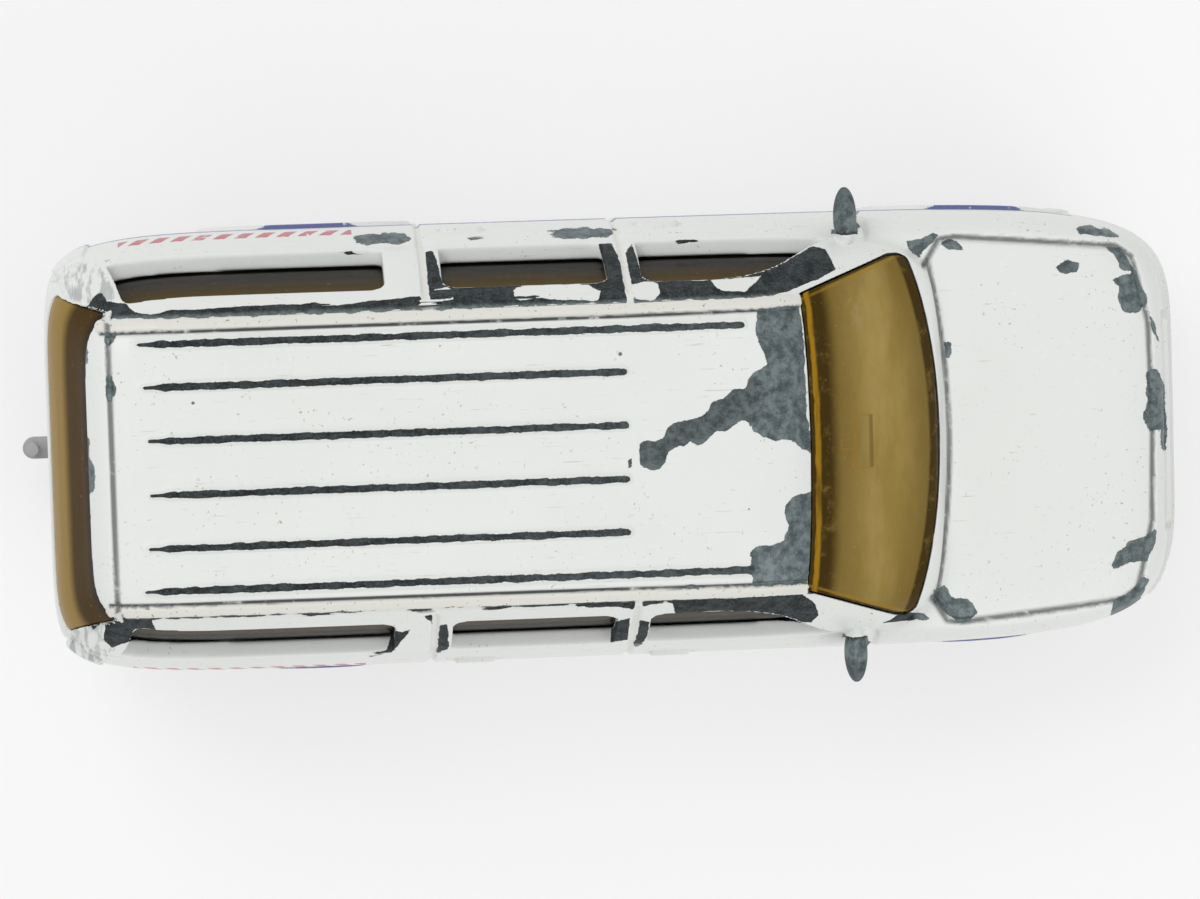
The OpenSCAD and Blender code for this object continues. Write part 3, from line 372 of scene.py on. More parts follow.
def rear_outline(margin=0.0):
    """The rear window seen from behind"""
    foot, head, m = pane_foot, 25.4, margin
    corners = [(-10.8 + m, foot + m), (10.8 - m, foot + m), (9.5 - m, head - m), (-9.5 + m, head - m)]
    return rounded(corners, [0.8] * 4)


window_outlines = [
    rounded([(-32, pane_foot), (-14.5, pane_foot), (-14.5, pane_head), (-30.7, pane_head)], [0.8] * 4),
    rounded([(-10.9, pane_foot), (-0.5, pane_foot), (-0.5, pane_head), (-10.9, pane_head)], [0.8] * 4),
    rounded([(1.6, pane_foot), (14.3, pane_foot), (8.9, pane_head), (1.6, pane_head)], [0.8, 0.4, 9.0, 0.8]),
]

body = shell(0)
body.name = "body_paint"
joined_by("DIFFERENCE", body, shell(-wall, low=2.0))
joined_by("DIFFERENCE", body, prism(screen_outline(), "Z", belt_z, roof_z + 2),
          prism(rear_outline(), "X", rear_x - 1, rear_x + tail_step + tail_lean),
          *[prism(outline, "Y", -17, 17) for outline in window_outlines])
for x in axle_xs:
    bpy.ops.mesh.primitive_cylinder_add(vertices=96, radius=arch_r, depth=40, location=(x, 0, axle_z),
                                        rotation=(math.pi / 2, 0, 0))
    bpy.ops.object.transform_apply()
    joined_by("DIFFERENCE", body, bpy.context.object)

mirror_x = 15.1
mirror_lumps = (((0.74, 1.95, 1.3), (mirror_x, 13.95, 19.95)), ((0.8, 1.3, 0.8), (15.6, 12.4, 19.6)))
bpy.ops.object.select_all(action="DESELECT")
for side in (-1, 1):
    for reach, spot in mirror_lumps:
        bpy.ops.mesh.primitive_uv_sphere_add(segments=32, ring_count=16, radius=1,
                                             location=(spot[0], side * spot[1], spot[2]), scale=reach)
        bpy.ops.object.transform_apply()
        bpy.context.object.name = "mirror_lump"
for lump in [o for o in bpy.data.objects if o.name.startswith("mirror_lump")]:
    lump.select_set(True)
body.select_set(True)
bpy.context.view_layer.objects.active = body
bpy.ops.object.join()
body.data.remesh_voxel_size = 0.13
bpy.ops.object.voxel_remesh()


def smoothed(piece, factor, times, part=""):
    """Rounds a mesh or a part of it off, as thick paint does"""
    bpy.ops.object.modifier_add(type="SMOOTH")
    step = piece.modifiers[-1]
    step.factor, step.iterations, step.vertex_group = factor, times, part
    bpy.ops.object.modifier_apply(modifier=step.name)


def eased(away, half, soft):
    """1 within half a width, easing to 0 over a soft edge"""
    t = np.clip((half + soft - away) / soft, 0, 1)
    return t * t * (3 - 2 * t)


def from_line(a, b, corners):
    """How far points lie from a line through some corners"""
    near = np.full(len(a), 1e9)
    for (a0, b0), (a1, b1) in zip(corners[:-1], corners[1:]):
        run = np.array((a1 - a0, b1 - b0))
        s = np.clip(((a - a0) * run[0] + (b - b0) * run[1]) / (run @ run), 0, 1)
        near = np.minimum(near, np.hypot(a - a0 - s * run[0], b - b0 - s * run[1]))
    return near


smoothed(body, 0.5, 3)
x, y, z = spots_of(body.data).T
sill = from_line(x, z, [(-31.4, pane_foot), (14.0, pane_foot)]) < 0.62
sill &= (np.abs(y) > 11.2) & (np.abs(y) < 13.2)
body.vertex_groups.new(name="rolled_sill").add(np.flatnonzero(sill).tolist(), 1.0, "REPLACE")
smoothed(body, 0.5, 22, "rolled_sill")
body.vertex_groups.clear()


def inside_box(a, b, middle, size):
    """How far points lie outside a box, less than zero inside it"""
    return np.maximum(np.abs(a - middle[0]) - size[0] / 2, np.abs(b - middle[1]) - size[1] / 2)


rib_ys, rib_rears, rib_fronts = (1.68, 5.0, 7.65), (-29.4, -29.6, -29.9), (0.35, 0.35, 7.8)
cowl = screen_x + 0.55
bonnet_line = [(cowl - 1.6, 10.7), (cowl - 0.6, 12.3), (cowl + 0.4, 12.45), (cowl + 11.2, 11.5),
               (cowl + 12.2, 10.8), (cowl + 13.2, 6.5), (cowl + 13.4, 0)]
cowl_line = [(screen_x + 0.3 - 0.95 * (w / 10)**2, w) for w in range(12)]
rail_line = [(-32.2, 8.9), (0, 8.96), (9.5, 9.05), (11.3, 9.1)]
rail_shift, gutter_in = 0.085, 0.46
roof_back_x = -31.75
rear_seam_x, mid_seam_x = -12, 0.65
door_seams = ([(rear_seam_x, 26), (rear_seam_x, 7.6), (16.6, 7.6), (16.6, 18.6)],
              [(mid_seam_x, 26), (mid_seam_x, 7.6)])
tailgate_line = [(0, 10.9), (11.6, 10.9), (11.6, 18.9), (8.85, 27.4)]


def rib_away(x, y):
    """How far points on the roof lie from the nearest rib, as a share of its half width"""
    near = np.full(len(x), 1e9)
    for middle, start, end in zip(rib_ys, rib_rears, rib_fronts):
        half = np.clip((x - start) / 1.2, 0.45, 1)
        beyond = np.maximum(0, np.maximum(x - end + 0.3, start - x))
        near = np.minimum(near, np.hypot(np.abs(np.abs(y) - middle), beyond) / half)
    return near


spots, facing = spots_of(body.data), spots_of(body.data, "normal")
x, y, z = spots.T
wide = np.abs(y)
on_roof = (facing[:, 2] > 0.3) & (z > 25)
on_side = facing[:, 1] * np.sign(y) > 0.35
on_bonnet = (facing[:, 2] > 0.2) & (x > screen_x - 1.6) & (z > 15)
on_tail = (facing[:, 0] < -0.3) & (x < -27)
on_nose = (facing[:, 0] > 0.3) & (x > 30)

lift = np.zeros(len(x))
lift += 0.22 * eased(rib_away(x, y), 0.18, 0.26) * on_roof
lift += 0.09 * eased(rib_away(x, y), 0.3, 1.1) * on_roof
wide_rail = np.abs(y + rail_shift)
lift += 0.16 * eased(from_line(x, wide_rail, rail_line), 0.24, 0.16) * on_roof
lift -= 0.16 * eased(from_line(x, wide_rail + gutter_in, rail_line), 0.05, 0.12) * on_roof
lift -= 0.2 * eased(from_line(x, wide, [(roof_back_x, 0), (roof_back_x, 9.9)]), 0.1, 0.14) * on_roof
lift -= 0.28 * eased(from_line(x, wide, bonnet_line), 0.12, 0.2) * on_bonnet
lift -= 0.22 * eased(from_line(x, wide, cowl_line), 0.06, 0.16) * on_bonnet
for seam in door_seams:
    lift -= 0.22 * eased(from_line(x, z, seam), 0.12, 0.15) * on_side
lift -= 0.22 * eased(from_line(wide, z, tailgate_line), 0.12, 0.15) * on_tail
for middle in (-9.2, 3.4):
    handle = from_line(x, z, [(middle - 0.88, 16.6), (middle + 0.88, 16.6)])
    lift += (0.2 * eased(handle, 0.34, 0.14) - 0.16 * eased(np.abs(handle - 0.62), 0.05, 0.12)) * on_side
for middle in axle_xs:
    lift += 0.25 * eased(np.abs(np.hypot(x - middle, z - axle_z) - arch_r - 0.3), 0.45, 0.25) * on_side
# Middle and size of the lamps and the grille, across and up
headlamp = ((9.2, 12.9), (4.4, 2.7))
tail_lamp = ((12.75, 14.7), (1.7, 5))
grille = ((0, 13.05), (13.2, 4.3))
for box, where in ((headlamp, on_nose), (tail_lamp, on_tail), (grille, on_nose)):
    away = inside_box(wide, z, *box)
    lift += (0.2 * eased(away, 0, 0.12) - 0.26 * eased(np.abs(away - 0.36), 0.09, 0.12)) * where
flute_pitch = 0.62
flutes = np.cos(wide * 2 * math.pi / flute_pitch)
lift += 0.07 * flutes * eased(inside_box(wide, z, *headlamp), -0.3, 0.1) * on_nose
for k in range(4):
    lift -= 0.55 * eased(inside_box(wide, z, (0, 11.65 + 0.95 * k), (12.2, 0.5)), 0, 0.12) * on_nose
spots += facing * lift[:, None]
body.data.vertices.foreach_set("co", spots.ravel())
body.data.update()
smoothed(body, 0.4, 1)

bpy.ops.object.modifier_add(type="DECIMATE")
triangles_kept = 96000
body.modifiers[-1].ratio = min(1.0, triangles_kept / (2 * len(body.data.polygons)))
bpy.ops.object.modifier_apply(modifier=body.modifiers[-1].name)
edit(bpy.ops.mesh.quads_convert_to_tris)
bpy.ops.transform.resize(value=(MM, MM, MM), center_override=(0, 0, 0))
bpy.ops.object.transform_apply()
bpy.ops.object.shade_smooth()


# Where the paint has gone: patches with the outlines they have in the picture, worn rib tops,
# mirrors and edges. The field is a distance in millimetres, more than zero on bare metal.
bare_patches = [
    # Roof above the windscreen, with a chipped trail across to the ribs
    [(757, 306), (757, 320), (756, 335), (762, 350), (767, 364), (758, 370), (749, 378), (746, 388),
     (733, 389), (724, 398), (712, 402), (708, 412), (700, 416), (690, 420), (675, 422), (668, 424),
     (664, 438), (655, 441), (645, 440), (637, 446), (636, 453), (628, 460), (629, 468), (640, 466),
     (652, 470), (663, 468), (670, 450), (678, 446), (684, 448), (690, 440), (697, 447), (708, 440),
     (716, 432), (730, 432), (735, 423), (742, 420), (750, 422), (753, 431), (762, 437), (775, 442),
     (782, 439), (794, 441), (800, 448), (812, 453), (808, 420), (806, 380), (804, 340), (799, 303)],
    [(814, 490), (800, 493), (790, 500), (783, 508), (786, 518), (788, 526), (784, 540), (772, 545),
     (757, 547), (748, 553), (752, 562), (747, 571), (753, 578), (750, 588), (785, 590), (814, 594)],
    # Left edge of the roof, with its door pillars and the windscreen pillar
    [(104, 301), (126, 303), (134, 312), (152, 315), (172, 309), (186, 310), (222, 307), (262, 305),
     (300, 304), (318, 302), (326, 306), (352, 304), (372, 300), (392, 299), (408, 297), (421, 296),
     (424, 312), (390, 312), (330, 314), (250, 317), (180, 319), (106, 319)],
    [(421, 252), (433, 250), (437, 262), (441, 277), (447, 284), (514, 282), (540, 281), (600, 279),
     (603, 265), (598, 244), (612, 243), (620, 262), (632, 243), (638, 262), (646, 276), (700, 275),
     (748, 271), (785, 261), (813, 246), (825, 249), (833, 262), (836, 270), (820, 278), (790, 291),
     (755, 300), (700, 303), (600, 307), (500, 309), (428, 310)],
    # Right edge of the roof
    [(106, 617), (150, 617), (157, 632), (134, 640), (112, 648), (103, 640)],
    [(150, 617), (200, 615), (250, 612), (300, 610), (350, 608), (430, 605), (433, 608), (432, 624),
     (424, 614), (402, 609), (380, 610), (352, 614), (336, 612), (322, 618), (300, 614), (250, 617),
     (150, 620)],
    [(434, 605), (480, 603), (520, 601), (560, 600), (600, 598), (640, 597), (700, 596), (760, 592),
     (802, 594), (816, 604), (819, 615), (812, 623), (760, 619), (700, 617), (676, 617), (672, 603),
     (650, 605), (632, 610), (618, 607), (590, 608), (570, 604), (553, 609), (545, 605), (536, 609),
     (524, 606), (500, 609), (488, 612), (476, 606), (440, 608)],
    [(436, 625), (448, 624), (449, 648), (436, 655)],
    [(392, 630), (402, 632), (412, 628), (405, 637), (398, 646), (390, 654), (370, 657), (368, 654),
     (387, 650)],
    [(612, 622), (630, 618), (628, 640), (610, 643)],
    [(640, 620), (650, 622), (646, 640), (635, 648), (633, 640)],
    # Chips along the left belt line
    [(350, 237), (365, 234), (411, 233), (412, 244), (360, 245)],
    [(545, 232), (560, 228), (612, 228), (621, 233), (600, 238), (560, 240), (548, 236)],
    [(464, 238), (476, 235), (487, 237), (480, 242), (468, 241)],
    [(508, 247), (518, 246), (518, 249), (509, 250)],
    [(673, 241), (690, 239), (700, 241), (690, 243), (675, 244)],
    [(334, 252), (352, 251), (366, 255), (350, 255)],
    # Bonnet and front wings
    [(906, 241), (922, 239), (933, 232), (939, 235), (929, 246), (919, 259), (909, 251)],
    [(938, 243), (950, 238), (962, 245), (965, 251), (948, 250)],
    [(1075, 228), (1090, 225), (1110, 230), (1122, 238), (1105, 237), (1080, 235)],
    [(1105, 246), (1121, 246), (1129, 261), (1136, 274), (1122, 269), (1115, 256)],
    [(1109, 278), (1125, 275), (1135, 271), (1143, 289), (1148, 304), (1137, 313), (1122, 311),
     (1117, 298), (1120, 287)],
    [(1146, 304), (1152, 318), (1160, 344), (1152, 330)],
    [(1145, 372), (1155, 366), (1164, 380), (1167, 430), (1150, 431), (1141, 415), (1148, 402),
     (1146, 385)],
    [(1160, 428), (1167, 428), (1166, 452), (1161, 450)],
    [(1109, 568), (1118, 552), (1130, 540), (1145, 537), (1157, 526), (1155, 545), (1147, 561), (1130, 562),
     (1118, 569)],
    [(1113, 600), (1130, 592), (1143, 577), (1150, 580), (1140, 600), (1126, 616), (1110, 616)],
    [(1054, 268), (1065, 260), (1079, 262), (1077, 272), (1065, 275)],
    [(943, 341), (952, 340), (952, 357), (946, 357)],
    [(934, 590), (945, 585), (951, 597), (968, 599), (979, 612), (970, 621), (957, 623), (945, 612),
     (932, 601)],
    [(882, 623), (905, 612), (925, 613), (930, 619), (905, 621)],
    # Rear edge of the roof and the frame of the rear window
    [(105, 332), (118, 333), (112, 346), (106, 347)],
    [(105, 374), (112, 376), (117, 390), (111, 403), (106, 402)],
    [(80, 344), (88, 349), (87, 364), (79, 366)],
    [(81, 430), (90, 439), (90, 458), (96, 474), (95, 489), (88, 498), (83, 480), (81, 455)],
    [(84, 504), (93, 510), (91, 522), (83, 521)],
    [(88, 592), (98, 600), (100, 625), (92, 630)],
    [(84, 311), (92, 299), (100, 292), (107, 300), (104, 321), (97, 319), (92, 312)],
    [(686, 586), (694, 584), (699, 588), (690, 590)],
]
# Islands of paint left inside the patches
paint_islands = [
    [(434, 290), (446, 287), (454, 290), (452, 300), (440, 300)],
    [(515, 288), (526, 285), (552, 285), (590, 284), (601, 291), (597, 300), (570, 300), (545, 299),
     (535, 295), (525, 301), (515, 299)],
    [(631, 285), (645, 281), (658, 283), (660, 293), (654, 300), (638, 299), (631, 294)],
    [(710, 280), (730, 279), (761, 276), (755, 283), (745, 291), (725, 291), (715, 286)],
    [(132, 310), (150, 301), (176, 303), (205, 300), (206, 307), (186, 308), (172, 307), (152, 314),
     (140, 313)],
]


def within(across, down, outline):
    """Distance from an outline in the picture, more than zero inside it"""
    away = from_line(across, down, outline + outline[:1])
    inside = np.zeros(len(across), bool)
    for (a0, b0), (a1, b1) in zip(outline, outline[1:] + outline[:1]):
        if b0 != b1:
            crossed = (b0 > down) != (b1 > down)
            inside ^= crossed & (across < a0 + (down - b0) * (a1 - a0) / (b1 - b0))
    return np.where(inside, away, -away)


def bare_field(mesh):
    """The distance field of bare metal at each point of the casting"""
    spots, facing = spots_of(mesh) / MM, spots_of(mesh, "normal")
    x, y, z = spots.T
    across, down = in_picture(spots)
    seen = (facing @ np.array(towards) > 0.05) & (z > 14.5)
    field = np.full(len(x), -5.0)
    for outline in bare_patches:
        field = np.maximum(field, within(across, down, outline) / pixels_per_mm)
    for outline in paint_islands:
        field = np.minimum(field, -within(across, down, outline) / pixels_per_mm)
    field[~seen] = -5.0
    seam = np.minimum(np.abs(x - rear_seam_x), np.abs(x - mid_seam_x))
    field = np.where((z > 17) & (np.abs(y) < 13.5), np.minimum(field, seam - 0.22), field)
    rail = from_line(x, np.abs(y + rail_shift), rail_line)
    field = np.where((z > 25) & (facing[:, 2] > 0.3), np.minimum(field, rail - 0.36), field)
    rib = 0.235 - rib_away(x, y)
    field = np.where((facing[:, 2] > 0.3) & (z > 26), np.maximum(field, rib), field)
    mirror = (np.abs(y) > 12.3) & (np.abs(x - mirror_x) < 1.2) & (z > 18.4) & (z < 21.6)
    arm = np.minimum(np.abs(y) - 12.85, np.maximum(0.75 - np.abs(x - mirror_x), np.abs(y) - 13.3))
    return np.where(mirror, np.maximum(field, arm), field)


def refined(piece, field_of, passes=3, longest=0.32):
    """Splits long edges that lie along the border of the field, so it keeps its shape"""
    for _ in range(passes):
        field = field_of(piece.data)
        pairs = np.empty(len(piece.data.edges) * 2, int)
        piece.data.edges.foreach_get("vertices", pairs)
        pairs = pairs.reshape(-1, 2)
        ends = spots_of(piece.data)[pairs] / MM
        length = np.linalg.norm(ends[:, 0] - ends[:, 1], axis=1)
        near = np.min(np.abs(field[pairs]), axis=1) < np.maximum(0.2, 0.8 * length)
        near |= (field[pairs[:, 0]] > 0) != (field[pairs[:, 1]] > 0)
        bpy.ops.object.mode_set(mode="EDIT")
        bpy.ops.mesh.select_mode(type="EDGE")
        bpy.ops.mesh.select_all(action="DESELECT")
        bpy.ops.object.mode_set(mode="OBJECT")
        piece.data.edges.foreach_set("select", near & (length > longest))
        bpy.ops.object.mode_set(mode="EDIT")
        bpy.ops.mesh.subdivide(number_cuts=1, ngon=False)
        bpy.ops.mesh.select_all(action="SELECT")
        bpy.ops.mesh.quads_convert_to_tris()
        bpy.ops.mesh.select_mode(type="VERT")
        bpy.ops.object.mode_set(mode="OBJECT")


refined(body, bare_field)


def keep_field(piece, name, values):
    """Stores a number at each point of a mesh for its material"""
    layer = piece.data.attributes.new(name, "FLOAT", "POINT")
    layer.data.foreach_set("value", values.astype(np.float32))


keep_field(body, "bare", bare_field(body.data))


# Fields for the finish: soot on worn ribs, mirrors and the chipped trail, painted shade on bare
# metal at the roof edges and cabin sides, dirt along rails and seams, painted shade in the grooves,
# and the rear pillars where the paint is scuffed thin
x, y, z = (spots_of(body.data) / MM).T
facing = spots_of(body.data, "normal")
wide, wide_rail = np.abs(y), np.abs(y + rail_shift)
on_top = (z > 25.5) & (facing[:, 2] > 0.3)
ribbed = eased(rib_away(x, y), 0.3, 0.15) * on_top * np.interp(x, [-16, 4], [1, 0.74])
# Painted shade: bare metal on the roof edges and cabin sides is darkened as they turn from the light
side_shade = eased(9.55 - wide, 0, 0.3) * (z > 18.8) * (wide < 13) * (x < 19)
across, down = in_picture(spots_of(body.data) / MM)
trail = 0.45 * eased(from_line(across, down, [(640, 460), (742, 396)]), 14, 16) * on_top
mirrors = 0.4 * (wide > 14.3) * (z > 15)
keep_field(body, "soot_and_shade", np.maximum(np.maximum(ribbed, side_shade), np.maximum(trail, mirrors)))
rail = from_line(x, wide_rail, rail_line)
seams = np.minimum(*[from_line(x, z, seam) for seam in door_seams])
keep_field(body, "grime", np.maximum(eased(rail, 0.3, 0.2) * on_top, 0.6 * eased(seams, 0.05, 0.2)))
# Painted shade: dark lines in the grooves of the gutters, bonnet, cowl and back of the roof
rail_gap = from_line(x, wide_rail + gutter_in, rail_line) + 9 * ~on_top
lid_gap = np.minimum(from_line(x, wide, bonnet_line), from_line(x, wide, cowl_line))
lid_gap += 9 * (z < 15) + 9 * (x < 18)
back_gap = from_line(x, wide, [(roof_back_x, 0), (roof_back_x, 9.0)]) + 9 * ~on_top
keep_field(body, "groove_shade", np.maximum(eased(rail_gap, 0.05, 0.1),
                                   0.8 * eased(np.minimum(lid_gap, back_gap), 0.08, 0.16)))
scuffs = np.full(len(x), -5.0)
for outline in ([(70, 628), (100, 616), (112, 646), (92, 668), (74, 655)],
                [(62, 268), (98, 268), (112, 296), (90, 300), (74, 296)]):
    scuffs = np.maximum(scuffs, within(across, down, outline) / pixels_per_mm)
keep_field(body, "scuffed", eased(-scuffs, 0, 0.5) * (z > 17))

paint = Finish("worn_white_paint")
where = paint.add("TexCoord").outputs["Object"]
normal = paint.add("TexCoord").outputs["Normal"]
place = paint.add("SeparateXYZ", {0: where})
side = paint.add("SeparateXYZ", {0: normal})
bare = paint.add("Attribute", attribute_name="bare").outputs["Fac"]
soot_and_shade = paint.add("Attribute", attribute_name="soot_and_shade").outputs["Fac"]
grime = paint.add("Attribute", attribute_name="grime").outputs["Fac"]
groove_shade = paint.add("Attribute", attribute_name="groove_shade").outputs["Fac"]
scuffed = paint.add("Attribute", attribute_name="scuffed").outputs["Fac"]

# The paint breaks away in small bites, so the border of each patch is ragged
bites = paint.add("TexVoronoi", {"Vector": where, "Scale": 1150.0}, feature="F1").outputs["Distance"]
ragged = paint.noise(where, 1500.0, 5.0, 0.62)
crumbs = paint.noise(where, 7500.0, 3.0, 0.6)
rough = paint.calc("MULTIPLY_ADD", ragged, 0.36, -0.18)
rough = paint.calc("MULTIPLY_ADD", crumbs, 0.14, rough)
rough = paint.calc("MULTIPLY_ADD", bites, -0.16, rough)
border = paint.calc("MULTIPLY_ADD", rough, paint.calc("MULTIPLY_ADD", soot_and_shade, -0.45, 1.0), bare)
pits = paint.add("TexVoronoi", {"Vector": where, "Scale": 230.0}, feature="F1")
rare = paint.add("SeparateColor", {0: pits.outputs["Color"]}).outputs[0]
pit_size = paint.calc("MULTIPLY", paint.step(rare, 0.6, 1.0), 0.05)
pit = paint.calc("SUBTRACT", pit_size, pits.outputs["Distance"])
worn = paint.calc("MAXIMUM", paint.step(border, -0.012, 0.018), paint.step(pit, -0.004, 0.004))
streak = paint.noise(where, 1.0, 3.0, 0.6, stretch=(2600.0, 420.0, 420.0))
thin = paint.step(paint.calc("MULTIPLY_ADD", scuffed, 0.1, streak), 0.54, 0.70)
thin = paint.calc("MULTIPLY", thin, paint.step(scuffed, 0.1, 0.7, 0.0, 0.5))

# White gloss with a faint cast, fine scratches and tan dirt that settles along the gutters
cloud = paint.noise(where, 110.0, 4.0)
white = paint.blend(cloud, (0.765, 0.785, 0.755, 1), (0.83, 0.845, 0.825, 1))
hair = paint.noise(where, 1.0, 4.0, 0.6, stretch=(300.0, 9000.0, 9000.0))
slash = paint.noise(where, 1.0, 4.0, 0.6, stretch=(7000.0, 900.0, 900.0))
scratch = paint.calc("MAXIMUM", paint.step(hair, 0.66, 0.74), paint.step(slash, 0.69, 0.77))
white = paint.blend(paint.calc("MULTIPLY", scratch, 0.5), white, (0.34, 0.30, 0.24, 1))
speck = paint.step(paint.noise(where, 3600.0, 2.0), 0.66, 0.72)
dusty = paint.step(paint.noise(where, 260.0, 2.0), 0.46, 0.62)
tan = paint.calc("MULTIPLY", speck, paint.calc("MAXIMUM", paint.calc("MULTIPLY", dusty, 0.7), grime))
white = paint.blend(paint.calc("MULTIPLY", grime, 0.30), white, (0.66, 0.60, 0.48, 1))
white = paint.blend(tan, white, (0.40, 0.31, 0.19, 1))
broken = paint.step(paint.noise(where, 800.0, 4.0, 0.6), 0.22, 0.42)
# Painted shade: the grooves are darkened where shade falls in them, broken up by noise
white = paint.blend(paint.calc("MULTIPLY", groove_shade, broken), white, (0.075, 0.08, 0.085, 1))

# A plain blue band along each side, and a row of slanted red bars over the rear wheels
outer = paint.step(paint.calc("MULTIPLY", side.outputs[1], paint.calc("SIGN", place.outputs[1])), 0.3, 0.4)
high = paint.calc("MULTIPLY", place.outputs[2], 1000.0)
ahead = paint.calc("MULTIPLY", place.outputs[0], 1000.0)
rub = paint.calc("MULTIPLY", paint.calc("SUBTRACT", crumbs, 0.5), 0.35)
high = paint.calc("ADD", high, rub)
band = paint.calc("MULTIPLY", paint.step(high, 12.62, 12.72), paint.step(high, 13.95, 14.05, 1.0, 0.0))
faded = paint.step(ragged, 0.30, 0.42)
length = paint.calc("MULTIPLY_ADD", high, 0.45, ahead)
reach = paint.calc("MULTIPLY", paint.step(length, -28.0, -27.9), paint.step(length, 37.0, 37.1, 1.0, 0.0))
ink = paint.calc("MULTIPLY", paint.calc("MULTIPLY", band, outer), paint.calc("MULTIPLY", faded, reach))
white = paint.blend(paint.calc("MULTIPLY", ink, 0.9), white, (0.035, 0.055, 0.27, 1))
lean = paint.calc("FRACT", paint.calc("DIVIDE", length, 1.35))
bar = paint.calc("MULTIPLY", paint.step(lean, 0.02, 0.07), paint.step(lean, 0.60, 0.65, 1.0, 0.0))
row = paint.calc("MULTIPLY", paint.step(high, 15.55, 15.62), paint.step(high, 16.95, 17.02, 1.0, 0.0))
span = paint.calc("MULTIPLY", paint.step(ahead, -31.2, -31.1), paint.step(ahead, -16.3, -16.2, 1.0, 0.0))
ink = paint.calc("MULTIPLY", paint.calc("MULTIPLY", bar, row), paint.calc("MULTIPLY", span, outer))
ink = paint.calc("MULTIPLY", ink, faded)
white = paint.blend(paint.calc("MULTIPLY", ink, 0.88), white, (0.50, 0.035, 0.07, 1))

# Bare zinc: slate grey, mottled, darker with dirt on the ribs, and with painted shade along the roof
# edge and cabin sides
mottle = paint.noise(where, 1500.0, 8.0, 0.74)
zinc = paint.blend(paint.step(mottle, 0.36, 0.66), (0.075, 0.095, 0.10, 1), (0.215, 0.26, 0.265, 1))
glint = paint.step(paint.noise(where, 5200.0, 3.0, 0.6), 0.62, 0.75)
zinc = paint.blend(paint.calc("MULTIPLY", glint, 0.35), zinc, (0.42, 0.46, 0.47, 1))
dark = paint.blend(paint.step(mottle, 0.40, 0.62), (0.007, 0.009, 0.010, 1), (0.034, 0.041, 0.045, 1))
zinc = paint.blend(paint.calc("MULTIPLY", soot_and_shade, 0.92), zinc, dark)
grain = paint.step(paint.noise(where, 6800.0, 3.0, 0.7), 0.5, 0.72)
zinc = paint.blend(paint.calc("MULTIPLY", grain, 0.3), zinc, (0.19, 0.22, 0.22, 1))

white = paint.blend(thin, white, (0.17, 0.19, 0.195, 1))
colour = paint.blend(worn, white, zinc)
gloss = paint.calc("MULTIPLY_ADD", cloud, 0.16, 0.22)
matt = paint.calc("MULTIPLY_ADD", soot_and_shade, 0.3, paint.calc("MULTIPLY_ADD", mottle, 0.25, 0.36))
gloss = paint.calc("MAXIMUM", gloss, paint.calc("MULTIPLY", worn, matt))
peel = paint.calc("MULTIPLY", paint.noise(where, 420.0, 2.0), 0.25)
height = paint.calc("SUBTRACT", peel, worn)
height = paint.calc("MULTIPLY_ADD", paint.calc("MULTIPLY", mottle, worn), 0.25, height)
height = paint.calc("MULTIPLY_ADD", scratch, -0.12, height)
bump = paint.add("Bump", {"Strength": 0.55, "Distance": 0.00007, "Height": height})
coat = paint.add("BsdfPrincipled", {
    "Base Color": colour, "Roughness": gloss, "Specular IOR Level": 0.25,
    "Metallic": paint.calc("MULTIPLY", worn, paint.calc("MULTIPLY_ADD", soot_and_shade, -0.4, 0.45)),
    "Normal": bump.outputs[0]})
body.data.materials.clear()
body.data.materials.append(paint.close(coat))
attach(body, "car")
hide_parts("body_casting")

# Window moulding: one clear amber plastic moulding pushed up into the cabin. Its windscreen and
# rear window stand out to the paint, and the driving mirror is moulded under the windscreen.
curves = between(cabin_rings)
glass = lofted(grown(curves, -1.2), cabin_powers)
glass.name = "window_amber"
for block in (prism(screen_outline(0.1), "Z", belt_z + 0.1, roof_z + 2),
              prism(rear_outline(0.1), "X", rear_x - 1, rear_x + tail_step + tail_lean)):
    joined_by("UNION", glass, joined_by("INTERSECT", block, lofted(grown(curves, -0.12), cabin_powers)))
hollow = grown(curves, -1.95)
joined_by("DIFFERENCE", glass, lofted(np.vstack([hollow[:1] - (1, 0, 0, 0, 0), hollow]), cabin_powers))
for back, front, half, bottom in ((14.65, 15.95, 1.75, 20.25), (12.7, 14.8, 0.3, 21.75)):
    arm = prism([(back, -half), (front, -half), (front, half), (back, half)], "Z", bottom, bottom + 4)
    joined_by("UNION", glass, joined_by("INTERSECT", arm, lofted(grown(curves, -1.4), cabin_powers)))
edit(lambda: bpy.ops.mesh.dissolve_degenerate(threshold=0.001))
glass.select_set(True)
bpy.ops.transform.resize(value=(MM, MM, MM), center_override=(0, 0, 0))
bpy.ops.object.transform_apply()
bpy.ops.object.shade_smooth_by_angle(angle=math.radians(35))

refined(glass, lambda mesh: np.zeros(len(mesh.vertices)), longest=0.8)

x, y, z = (spots_of(glass.data) / MM).T
wide = np.abs(y)
flare_cos = 0.944
from_side = ((x - screen_back_x) * screen_flare + screen_back_half - wide) * flare_cos
in_screen = (x > screen_head(wide) - 0.2) & (from_side > -0.2)
keep_field(glass, "from_head", x - screen_head(wide))
keep_field(glass, "from_foot", screen_foot(wide) - x)
keep_field(glass, "from_side", from_side)
keep_field(glass, "in_screen", in_screen.astype(float))
keep_field(glass, "in_rear", ((x < -31.5) & (wide < 11)).astype(float))

